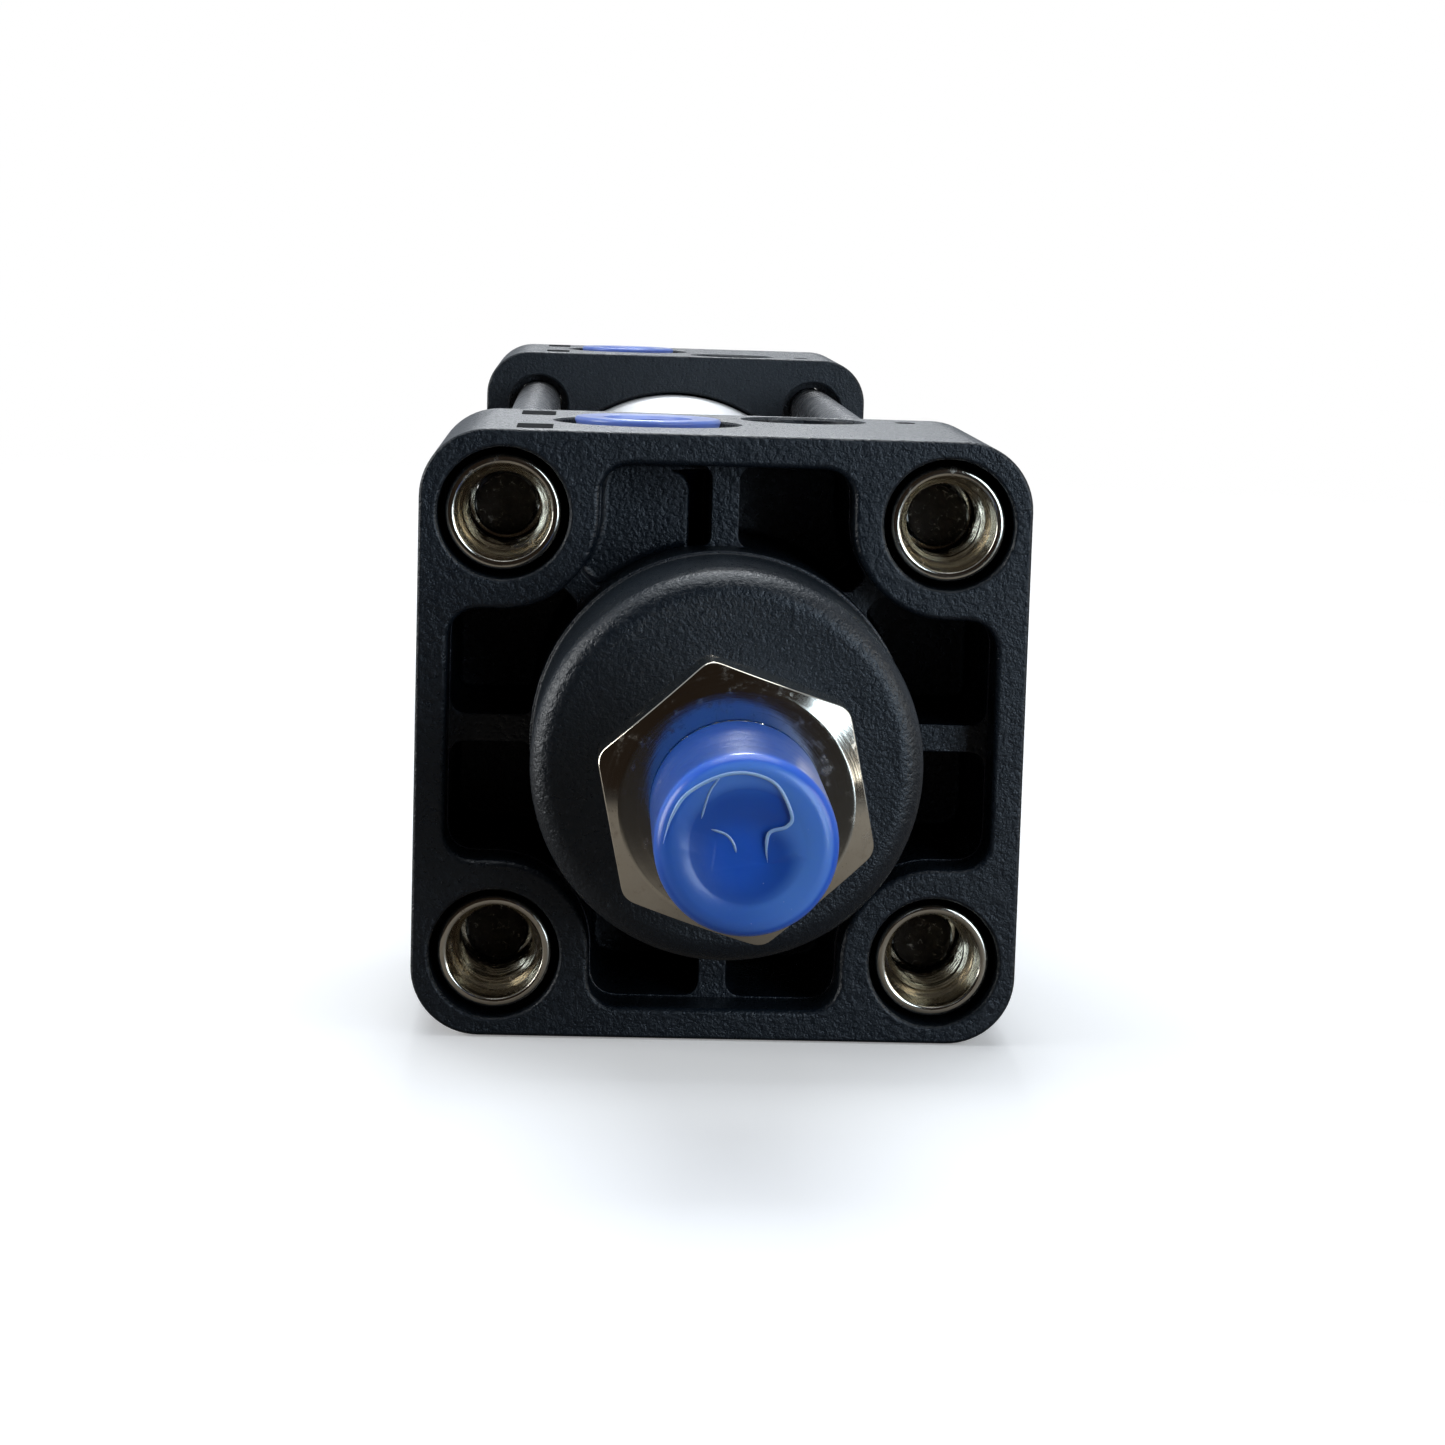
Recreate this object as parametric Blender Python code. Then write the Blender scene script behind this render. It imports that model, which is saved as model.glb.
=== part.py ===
"""Tie-rod pneumatic cylinder, 32 mm bore and 100 mm stroke, rod retracted.

The rod end faces -Y, the ports face +Z and the caps rest on Z = 0. Lengths along the
cylinder are depths behind the front cap's front face, heights are from the rod's axis.
"""
import math

import bmesh
import bpy
from mathutils import Matrix, Vector

MM = 0.001
GAP = 0.3  # clearance that touching pieces keep, in mm like every size below
ROUND_LARGE = 36  # sides of large, middling and small turned shapes
ROUND_MEDIUM = 24
ROUND_SMALL = 16

# Driving sizes
CAP_SIDE = 45.4
CAP_CORNER = 5.1
CAP_EDGE = 0.8
CAP_LENGTH = 31.0
BARREL_SHOWN = 143.0  # barrel length between the two caps
TIE_PITCH = 33.0
BOSS_RADIUS = 13.95
BOSS_LENGTH = 15.0
BOSS_FILLET = 1.8
BOSS_ROOT = 24.0  # how far the boss runs back into the cap
BARREL_OUTER = 18.0
BARREL_INNER = 16.0
BARREL_SEAT = 3.6  # how deep the barrel stands in each cap
SPIGOT_RADIUS = 15.7
SPIGOT_LENGTH = 5.0
STROKE = 100.0
END_CLEARANCE = 0.5  # piston to spigot at either end of the stroke
PISTON_RADIUS = 15.6
ROD_RADIUS = 6.0
ROD_THREAD_RADIUS = 4.95
ROD_TAIL_RADIUS = 5.0
ROD_END = -46.5
ROD_SHOULDER = -25.0
NUT_FLATS = 17.0
NUT_THICKNESS = 6.0
NUT_FRONT = -31.6
NUT_TURN = math.radians(-11.8)
THREAD_CAP_TIP = -47.9
THREAD_CAP_RADIUS = 5.75

# Pocket outline in the end faces
FRAME_WALL = 2.35
CORNER_BLOCK = 7.1  # radius of the block round each tie rod
POCKET_CORNER = 2.2
RIB_HALF = 1.05
WEB_HALF = 1.0
RIB_SETBACK = 4.5
POCKET_STEP = 0.2
POCKET_DEPTH = 20.0
POCKET_INNER = 12.0  # reaches inside the boss, which closes the pocket's inner side

# Tie rods and their round nuts
TIE_RADIUS = 2.65
TIE_END_RADIUS = 2.45
TIE_HOLE = 3.0
TIE_END_DEPTH = 10.0
COUNTERBORE = 4.88
COUNTERBORE_DEPTH = 15.3
TIE_NUT_OUTER = 4.3
TIE_NUT_MOUTH = 3.55
TIE_NUT_BORE = 2.8
TIE_NUT_SETBACK = 1.0
TIE_NUT_LENGTH = 14.0

# Bore of the front cap, from the boss inwards
BOSS_MOUTH = 6.6
LIP_THICKNESS = 1.2  # of the rim that keeps the wiper in its groove
SEAL_BORE = 8.7
SEAL_SEAT = -5.0  # depth where the seal's bore ends
BUSH_BORE = 7.8
BUSH_SEAT = 11.5
ROD_PASS = 6.6
CHAMBER_FRONT = 13.0
CHAMBER_REAR = 11.0

# Port and cushion screw in each cap's top
PORT_X = -5.8
PORT_DEPTH = 15.2
PORT_SPOTFACE = 7.2
PORT_BORE = 4.5
PORT_FLOOR = 11.8
SPOTFACE_SINK = 0.6
PASSAGE_RADIUS = 1.3
PASSAGE_HEIGHT = 12.6
CUSHION_X = 6.8
CUSHION_DEPTH = 24.9
CUSHION_RECESS = 4.9
CUSHION_RECESS_SINK = 3.0
CUSHION_HOLE = 2.2
CUSHION_HOLE_FLOOR = 12.5
CUSHION_CHAMBER = 10.9
CUSHION_SLEEVE = 8.4
CUSHION_SLEEVE_LENGTH = 17.2

# Worked out from the sizes above
HALF = CAP_SIDE / 2
REAR_FACE = CAP_LENGTH + BARREL_SHOWN  # front face of the rear cap
BODY_LENGTH = REAR_FACE + CAP_LENGTH
FRONT_Y = -(THREAD_CAP_TIP + BODY_LENGTH) / 2
TIE_OFFSET = TIE_PITCH / 2
PISTON_LENGTH = BARREL_SHOWN - 2 * SPIGOT_LENGTH - STROKE - 2 * END_CLEARANCE
PISTON_REAR = REAR_FACE - SPIGOT_LENGTH - END_CLEARANCE
PISTON_FRONT = PISTON_REAR - PISTON_LENGTH
GROOVE_FLOOR = CAP_LENGTH - BARREL_SEAT
CORNERS = {
    "top_left": (-TIE_OFFSET, TIE_OFFSET),
    "top_right": (TIE_OFFSET, TIE_OFFSET),
    "bottom_left": (-TIE_OFFSET, -TIE_OFFSET),
    "bottom_right": (TIE_OFFSET, -TIE_OFFSET),
}

# Colour, roughness and metallic value of each finish
FINISHES = {
    "cap_paint": ((0.020, 0.026, 0.034), 0.45, 0.0),
    "barrel_anodised": ((0.72, 0.73, 0.74), 0.35, 1.0),
    "zinc_steel": ((0.48, 0.48, 0.47), 0.38, 1.0),
    "nickel": ((0.70, 0.66, 0.56), 0.25, 1.0),
    "rod_chrome": ((0.75, 0.76, 0.78), 0.12, 1.0),
    "blue_cap": ((0.10, 0.22, 0.62), 0.35, 0.0),
    "blue_plug": ((0.20, 0.30, 0.68), 0.40, 0.0),
    "seal_rubber": ((0.02, 0.02, 0.02), 0.70, 0.0),
    "bronze": ((0.58, 0.38, 0.18), 0.40, 1.0),
    "piston_alloy": ((0.66, 0.67, 0.68), 0.40, 1.0),
    "magnet": ((0.10, 0.09, 0.09), 0.60, 0.0),
    "wear_polymer": ((0.55, 0.50, 0.40), 0.55, 0.0),
}


def clear_scene():
    for thing in list(bpy.data.objects):
        bpy.data.objects.remove(thing, do_unlink=True)


def finish_material(name):
    found = bpy.data.materials.get(name)
    if found:
        return found
    colour, roughness, metallic = FINISHES[name]
    material = bpy.data.materials.new(name)
    material.use_nodes = True
    shader = material.node_tree.nodes["Principled BSDF"]
    shader.inputs["Base Color"].default_value = (*colour, 1.0)
    shader.inputs["Roughness"].default_value = roughness
    shader.inputs["Metallic"].default_value = metallic
    return material


def place(obj, x=0.0, depth=0.0, height=0.0):
    """Puts an object's origin at that place in the cylinder's own measures."""
    obj.location = Vector((x, FRONT_Y + depth, HALF + height)) * MM


def new_object(name, bm, finish):
    """Turns a bmesh in millimetres into an object in metres."""
    bmesh.ops.recalc_face_normals(bm, faces=bm.faces)
    bmesh.ops.scale(bm, vec=(MM, MM, MM), verts=bm.verts)
    mesh = bpy.data.meshes.new(name)
    bm.to_mesh(mesh)
    bm.free()
    obj = bpy.data.objects.new(name, mesh)
    bpy.context.scene.collection.objects.link(obj)
    if finish:
        mesh.materials.append(finish_material(finish))
    mesh.shade_smooth()
    mesh.set_sharp_from_angle(angle=math.radians(30))
    return obj


def arc(cx, cy, radius, start, end, steps):
    """Points on a circle from start to end, in degrees, both ends included."""
    turn = [math.radians(start + (end - start) * i / steps) for i in range(steps + 1)]
    return [(cx + radius * math.cos(a), cy + radius * math.sin(a)) for a in turn]


def quarter_turns(points):
    """The points repeated in the four quarter turns about the axis."""
    whole = list(points)
    for _ in range(3):
        points = [(z, -x) for x, z in points]
        whole += points
    return whole


def prism(outline, depth_0, depth_1):
    """A closed prism whose X-Z outline runs between two depths along Y."""
    bm = bmesh.new()
    near = [bm.verts.new((x, depth_0, z)) for x, z in outline]
    far = [bm.verts.new((x, depth_1, z)) for x, z in outline]
    bm.faces.new(near)
    bm.faces.new(far)
    for i in range(len(outline)):
        j = (i + 1) % len(outline)
        bm.faces.new((near[i], near[j], far[j], far[i]))
    return bm


def turned(profile, segments):
    """A body turned about Y from (depth, radius) points.

    A profile that starts and ends at radius 0 is solid, any other is a closed ring.
    """
    bm = bmesh.new()
    rows = []
    for depth, radius in profile:
        if radius == 0:
            rows.append([bm.verts.new((0, depth, 0))] * segments)
            continue
        angles = [2 * math.pi * k / segments for k in range(segments)]
        ring = [(radius * math.sin(a), depth, radius * math.cos(a)) for a in angles]
        rows.append([bm.verts.new(point) for point in ring])
    pairs = list(zip(rows, rows[1:]))
    if profile[0][1] > 0:
        pairs.append((rows[-1], rows[0]))
    for a, b in pairs:
        for k in range(segments):
            n = (k + 1) % segments
            corners = list(dict.fromkeys((a[k], a[n], b[n], b[k])))
            bm.faces.new(corners)
    return bm


def upright(bm):
    """Turns a body made about Y so that its depth runs up +Z."""
    bmesh.ops.rotate(bm, verts=bm.verts, matrix=Matrix.Rotation(math.pi / 2, 3, "X"))
    return bm


def ring(name, inner, outer, depth_0, depth_1, finish, segments=ROUND_MEDIUM):
    """A plain ring about the cylinder's axis."""
    profile = [(depth_0, inner), (depth_0, outer), (depth_1, outer), (depth_1, inner)]
    obj = new_object(name, turned(profile, segments), finish)
    place(obj)
    return obj


def combine(target, tool_bm, operation, at=(0.0, 0.0, 0.0)):
    """Joins a tool shape to the target or cuts it away, and keeps only the result."""
    tool = new_object("tool", tool_bm, None)
    tool.location = Vector(at) * MM
    modifier = target.modifiers.new("combine", "BOOLEAN")
    modifier.operation = operation
    modifier.solver = "EXACT"
    modifier.object = tool
    bpy.context.view_layer.update()
    seen = target.evaluated_get(bpy.context.evaluated_depsgraph_get())
    result = bpy.data.meshes.new_from_object(seen)
    target.modifiers.remove(modifier)
    spent = target.data
    target.data = result
    bpy.data.meshes.remove(spent)
    bpy.data.objects.remove(tool, do_unlink=True)


def cylinder(radius, depth_0, depth_1, segments=ROUND_LARGE):
    profile = [(depth_0, 0), (depth_0, radius), (depth_1, radius), (depth_1, 0)]
    return turned(profile, segments)


def cap_block():
    """The square block of a cap with rounded corners and softened end edges."""
    inner = HALF - CAP_CORNER
    outline = quarter_turns(arc(inner, inner, CAP_CORNER, 90, 0, 5))
    bm = prism(outline, 0, CAP_LENGTH)
    rim = [e for e in bm.edges if abs(e.verts[0].co.y - e.verts[1].co.y) < 1e-6]
    bmesh.ops.bevel(bm, geom=rim, offset=CAP_EDGE, segments=2, affect="EDGES", profile=0.5)
    return bm


def recess_outline():
    """Inside of the cap's frame, running round the block at each tie rod."""
    wall = HALF - FRAME_WALL
    side = TIE_OFFSET - CORNER_BLOCK
    bend = POCKET_CORNER
    corner = arc(side - bend, wall - bend, bend, 90, 0, 3)
    corner += arc(TIE_OFFSET, TIE_OFFSET, CORNER_BLOCK, 180, 270, 6)
    corner += arc(wall - bend, side - bend, bend, 90, 0, 3)
    return quarter_turns(corner)


def pocket_outline():
    """One deep pocket, to the right of the top rib and left of the diagonal web."""
    wall = HALF - FRAME_WALL - POCKET_STEP
    side = TIE_OFFSET - CORNER_BLOCK - POCKET_STEP
    block = CORNER_BLOCK + POCKET_STEP
    bend = POCKET_CORNER
    web_turn = math.degrees(math.asin(WEB_HALF / block))
    inner_turn = 45 + math.degrees(math.asin(WEB_HALF / POCKET_INNER))
    rib_bend = 1.2
    points = [(RIB_HALF, POCKET_INNER)]
    points += arc(RIB_HALF + rib_bend, wall - rib_bend, rib_bend, 180, 90, 2)
    points += arc(side - bend, wall - bend, bend, 90, 0, 3)
    points += arc(TIE_OFFSET, TIE_OFFSET, block, 180, 225 - web_turn, 3)
    points += arc(0, 0, POCKET_INNER, inner_turn, inner_turn, 1)[:1]
    return points


def pocket_outlines():
    """The eight pockets: each quarter turn of the first one and of its mirror image."""
    first = pocket_outline()
    other = [(-x, z) for x, z in first]
    outlines = []
    for _ in range(4):
        outlines += [first, other]
        first = [(z, -x) for x, z in first]
        other = [(z, -x) for x, z in other]
    return outlines


def cut_pockets(cap):
    """The eight end pockets. The two under the port and the cushion screw are shallower."""
    port_side, screw_side = 7.0, 18.0
    slot_depth, slot_width = 10.2, 1.5
    combine(cap, prism(recess_outline(), -1, RIB_SETBACK), "DIFFERENCE")
    depths = [screw_side, port_side] + [POCKET_DEPTH] * 6
    for outline, depth in zip(pocket_outlines(), depths):
        combine(cap, prism(outline, RIB_SETBACK - 1, depth), "DIFFERENCE")
    top = HALF - FRAME_WALL - POCKET_STEP - 0.2
    low, high = -RIB_HALF - slot_width, -RIB_HALF
    slot = [(low, POCKET_INNER), (high, POCKET_INNER), (high, top), (low, top)]
    combine(cap, prism(slot, port_side - 1, slot_depth), "DIFFERENCE")


def cut_tie_holes(cap):
    profile = [
        (-1, 0), (-1, COUNTERBORE), (COUNTERBORE_DEPTH, COUNTERBORE),
        (COUNTERBORE_DEPTH, TIE_HOLE), (CAP_LENGTH + 1, TIE_HOLE), (CAP_LENGTH + 1, 0),
    ]
    for x, z in CORNERS.values():
        combine(cap, turned(profile, ROUND_SMALL), "DIFFERENCE", at=(x, 0, z))


def cut_top_holes(cap):
    """Port, its passage to the chamber, and the stepped hole of the cushion screw."""
    floor = HALF - SPOTFACE_SINK
    port = [
        (PORT_FLOOR, 0), (PORT_FLOOR, PORT_BORE), (floor, PORT_BORE),
        (floor, PORT_SPOTFACE), (HALF + 1, PORT_SPOTFACE), (HALF + 1, 0),
    ]
    combine(cap, upright(turned(port, ROUND_MEDIUM)), "DIFFERENCE", at=(PORT_X, PORT_DEPTH, 0))
    passage = cylinder(PASSAGE_RADIUS, PORT_DEPTH, CAP_LENGTH + SPIGOT_LENGTH + 1, ROUND_SMALL)
    combine(cap, passage, "DIFFERENCE", at=(PORT_X, 0, PASSAGE_HEIGHT))
    ledge = HALF - CUSHION_RECESS_SINK
    screw = [
        (CUSHION_HOLE_FLOOR, 0), (CUSHION_HOLE_FLOOR, CUSHION_HOLE), (ledge, CUSHION_HOLE),
        (ledge, CUSHION_RECESS), (HALF + 1, CUSHION_RECESS), (HALF + 1, 0),
    ]
    at = (CUSHION_X, CUSHION_DEPTH, 0)
    combine(cap, upright(turned(screw, ROUND_MEDIUM)), "DIFFERENCE", at=at)


def make_cap(name, boss_profile, bore_profile):
    """A cast cap, seen from its outer face at depth 0 with the barrel at the far side."""
    cap = new_object(name, cap_block(), "cap_paint")
    cut_pockets(cap)
    combine(cap, cylinder(BARREL_OUTER + GAP, GROOVE_FLOOR, CAP_LENGTH + 1), "DIFFERENCE")
    spigot = cylinder(SPIGOT_RADIUS, GROOVE_FLOOR - 1, CAP_LENGTH + SPIGOT_LENGTH)
    combine(cap, spigot, "UNION")
    combine(cap, turned(boss_profile, ROUND_LARGE), "UNION")
    cut_tie_holes(cap)
    cut_top_holes(cap)
    combine(cap, turned(bore_profile, ROUND_MEDIUM), "DIFFERENCE")
    cap.data.set_sharp_from_angle(angle=math.radians(30))
    return cap


def make_front_cap():
    fillet = arc(BOSS_FILLET - BOSS_LENGTH, BOSS_RADIUS - BOSS_FILLET, BOSS_FILLET, 180, 90, 3)
    boss = [(-BOSS_LENGTH, 0), *fillet, (BOSS_ROOT, BOSS_RADIUS), (BOSS_ROOT, 0)]
    open_end = CAP_LENGTH + SPIGOT_LENGTH + 1
    groove = LIP_THICKNESS - BOSS_LENGTH
    bore = [
        (-BOSS_LENGTH - 1, 0), (-BOSS_LENGTH - 1, BOSS_MOUTH), (groove, BOSS_MOUTH),
        (groove, SEAL_BORE), (SEAL_SEAT, SEAL_BORE),
        (SEAL_SEAT, BUSH_BORE), (BUSH_SEAT, BUSH_BORE), (BUSH_SEAT, ROD_PASS),
        (CHAMBER_FRONT, ROD_PASS), (CHAMBER_FRONT, CUSHION_CHAMBER),
        (open_end, CUSHION_CHAMBER), (open_end, 0),
    ]
    place(make_cap("front_cap", boss, bore))


def make_rear_cap():
    """The same casting without the bearing boss, turned end for end as a mirror image."""
    dish_radius, dish_depth = 8.0, 1.5
    boss = [(GAP, 0), (GAP, BOSS_RADIUS), (BOSS_ROOT, BOSS_RADIUS), (BOSS_ROOT, 0)]
    open_end = CAP_LENGTH + SPIGOT_LENGTH + 1
    bore = [(CHAMBER_REAR, 0), (CHAMBER_REAR, CUSHION_CHAMBER),
            (open_end, CUSHION_CHAMBER), (open_end, 0)]
    cap = make_cap("rear_cap", boss, bore)
    combine(cap, cylinder(dish_radius, -1, dish_depth, ROUND_MEDIUM), "DIFFERENCE")
    cap.data.transform(Matrix.Scale(-1, 4, (0, 1, 0)))
    cap.data.flip_normals()
    place(cap, depth=BODY_LENGTH)


def make_barrel():
    start = GROOVE_FLOOR + 2 * GAP + 1.0  # behind the gasket
    end = BODY_LENGTH - start
    ring("barrel_tube", BARREL_INNER, BARREL_OUTER, start, end, "barrel_anodised", 48)
    inner, outer, thick = BARREL_INNER + 0.1, BARREL_OUTER - 0.1, 1.0
    front = GROOVE_FLOOR + GAP
    rear = BODY_LENGTH - front - thick
    ring("barrel_gasket_front", inner, outer, front, front + thick, "seal_rubber")
    ring("barrel_gasket_rear", inner, outer, rear, rear + thick, "seal_rubber")


def make_tie_rods():
    """Four tie rods, each with a round nut sunk in either cap."""
    thread = CAP_LENGTH - 4
    rod = [
        (TIE_END_DEPTH, 0), (TIE_END_DEPTH, TIE_END_RADIUS - 0.4),
        (TIE_END_DEPTH + 0.4, TIE_END_RADIUS), (thread, TIE_END_RADIUS), (thread, TIE_RADIUS),
    ]
    rod += [(BODY_LENGTH - depth, radius) for depth, radius in reversed(rod)]
    front, back = TIE_NUT_SETBACK, TIE_NUT_SETBACK + TIE_NUT_LENGTH
    mouth_end = front + 3.4
    nut = [
        (front, TIE_NUT_MOUTH + 0.3), (front + 0.3, TIE_NUT_OUTER), (back, TIE_NUT_OUTER),
        (back, TIE_NUT_BORE), (mouth_end + 0.4, TIE_NUT_BORE), (mouth_end, TIE_NUT_MOUTH - 0.3),
        (front + 0.3, TIE_NUT_MOUTH),
    ]
    mirrored = [(BODY_LENGTH - depth, radius) for depth, radius in nut]
    for corner, (x, z) in CORNERS.items():
        shapes = {
            "tie_rod": (rod, "zinc_steel"),
            "tie_nut_front": (nut, "nickel"),
            "tie_nut_rear": (mirrored, "nickel"),
        }
        for name, (profile, finish) in shapes.items():
            body = turned(profile, ROUND_SMALL)
            place(new_object(f"{name}_{corner}", body, finish), x, 0, z)


def make_bearing():
    """Bush, rod seal and wiper in the front cap, and a cushion seal in each cap."""
    inner, seat = ROD_RADIUS + GAP, SEAL_BORE - GAP
    ring("rod_bush", inner, BUSH_BORE - GAP, SEAL_SEAT + GAP, BUSH_SEAT - GAP, "bronze")
    seal_front, seal_back = SEAL_SEAT - GAP - 4.0, SEAL_SEAT - GAP
    ring("rod_seal", inner, seat, seal_front, seal_back, "seal_rubber")
    back, front = seal_front - GAP, LIP_THICKNESS + GAP - BOSS_LENGTH
    wiper = [(front, inner), (back, inner), (back, seat), (front + 0.6, seat)]
    place(new_object("rod_wiper", turned(wiper, ROUND_MEDIUM), "seal_rubber"))
    inner, outer = CUSHION_SLEEVE + 0.4, CUSHION_CHAMBER - GAP
    near, far = 30.0, 34.0
    ring("cushion_seal_front", inner, outer, near, far, "seal_rubber")
    ring("cushion_seal_rear", inner, outer, BODY_LENGTH - far, BODY_LENGTH - near, "seal_rubber")


def make_cushion_screw(side, depth):
    """Slotted adjusting screw with its O-ring. Its origin is on its own axis."""
    top, head, shank, tip = HALF - 0.9, 3.0, 1.9, CUSHION_HOLE_FLOOR + 0.6
    seat = HALF - CUSHION_RECESS_SINK + GAP
    profile = [(tip, 0), (tip + 1.6, 0.9), (tip + 1.6, shank), (seat, shank), (seat, head),
               (top - 0.3, head), (top, head - 0.3), (top, 0)]
    screw = new_object(f"cushion_screw_{side}", upright(turned(profile, ROUND_SMALL)), "nickel")
    slot = bmesh.new()
    bmesh.ops.create_cube(slot, size=1.0)
    bmesh.ops.scale(slot, vec=(2 * head + 1, 0.8, 1.6), verts=slot.verts)
    combine(screw, slot, "DIFFERENCE", at=(0, 0, top))
    place(screw, CUSHION_X, depth, 0)
    inner, outer, low, high = head + GAP, head + 1.3, seat + 0.1, seat + 1.1
    oring = turned([(low, inner), (low, outer), (high, outer), (high, inner)], ROUND_SMALL)
    seal = new_object(f"cushion_oring_{side}", upright(oring), "seal_rubber")
    place(seal, CUSHION_X, depth, 0)


def make_port_plug(side, depth):
    """Flanged transit plug, hollow from above. Its origin is on the port's axis."""
    flange_low, flange_top = HALF - SPOTFACE_SINK + GAP, HALF + 0.4
    foot, flange, stem, well, well_floor = 15.0, 5.65, 4.15, 3.0, HALF - 1.2
    profile = [(foot, 0), (foot, stem - 0.5), (foot + 1.0, stem), (flange_low, stem),
               (flange_low, flange), (flange_top - 0.3, flange), (flange_top, flange - 0.3),
               (flange_top, well + 0.4), (well_floor, well), (well_floor, 0)]
    plug = upright(turned(profile, ROUND_MEDIUM))
    place(new_object(f"port_plug_{side}", plug, "blue_plug"), PORT_X, depth, 0)


def make_piston_rod():
    thread = ROD_THREAD_RADIUS
    tail, tail_end = ROD_TAIL_RADIUS, PISTON_REAR + 23.8
    profile = [
        (ROD_END, 0), (ROD_END, thread - 0.8), (ROD_END + 0.8, thread), (ROD_SHOULDER, thread),
        (ROD_SHOULDER, ROD_RADIUS - 0.4), (ROD_SHOULDER + 0.4, ROD_RADIUS),
        (PISTON_FRONT - GAP, ROD_RADIUS), (PISTON_FRONT - GAP, tail),
        (tail_end - 0.5, tail), (tail_end, tail - 0.5), (tail_end, 0),
    ]
    rod = new_object("piston_rod", turned(profile, ROUND_MEDIUM), "rod_chrome")
    flats, flats_start, flats_length = 10.0, ROD_SHOULDER + 1.5, 7.0
    for side in (-1, 1):
        block = bmesh.new()
        bmesh.ops.create_cube(block, size=1.0)
        bmesh.ops.scale(block, vec=(4, flats_length, 20), verts=block.verts)
        centre = (side * (flats / 2 + 2), flats_start + flats_length / 2, 0)
        combine(rod, block, "DIFFERENCE", at=centre)
    rod.data.set_sharp_from_angle(angle=math.radians(30))
    place(rod)


def make_hex_nut(name, flats, front, thickness, bore, turn, finish):
    """A hexagon nut whose corners are chamfered on both faces."""
    corner = flats / math.sqrt(3)
    turns = [turn + math.pi / 3 * k for k in range(6)]
    outline = [(corner * math.sin(a), corner * math.cos(a)) for a in turns]
    nut = new_object(name, prism(outline, front, front + thickness), finish)
    back, face, rim = front + thickness, flats * 0.47, corner + 0.02
    drop = (rim - face) * math.tan(math.radians(30))
    envelope = [(front, 0), (front, face), (front + drop, rim),
                (back - drop, rim), (back, face), (back, 0)]
    combine(nut, turned(envelope, ROUND_LARGE), "INTERSECT")
    chamfer, beyond = 0.5, 1.0
    mouth = bore + chamfer + beyond
    hole = [(front - beyond, 0), (front - beyond, mouth), (front + chamfer, bore),
            (back - chamfer, bore), (back + beyond, mouth), (back + beyond, 0)]
    combine(nut, turned(hole, ROUND_MEDIUM), "DIFFERENCE")
    nut.data.set_sharp_from_angle(angle=math.radians(30))
    place(nut)


def make_thread_cap():
    """Soft protective cap pushed over the rod's thread."""
    inner, mouth, floor = ROD_THREAD_RADIUS + GAP, NUT_FRONT - 0.5, ROD_END - 0.4
    profile = [
        (THREAD_CAP_TIP, 0), (THREAD_CAP_TIP, THREAD_CAP_RADIUS - 0.9),
        (THREAD_CAP_TIP + 0.25, THREAD_CAP_RADIUS - 0.3), (THREAD_CAP_TIP + 0.9, THREAD_CAP_RADIUS),
        (mouth, THREAD_CAP_RADIUS), (mouth, inner), (floor, inner), (floor, 0),
    ]
    place(new_object("rod_thread_cap", turned(profile, ROUND_MEDIUM), "blue_cap"))


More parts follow.
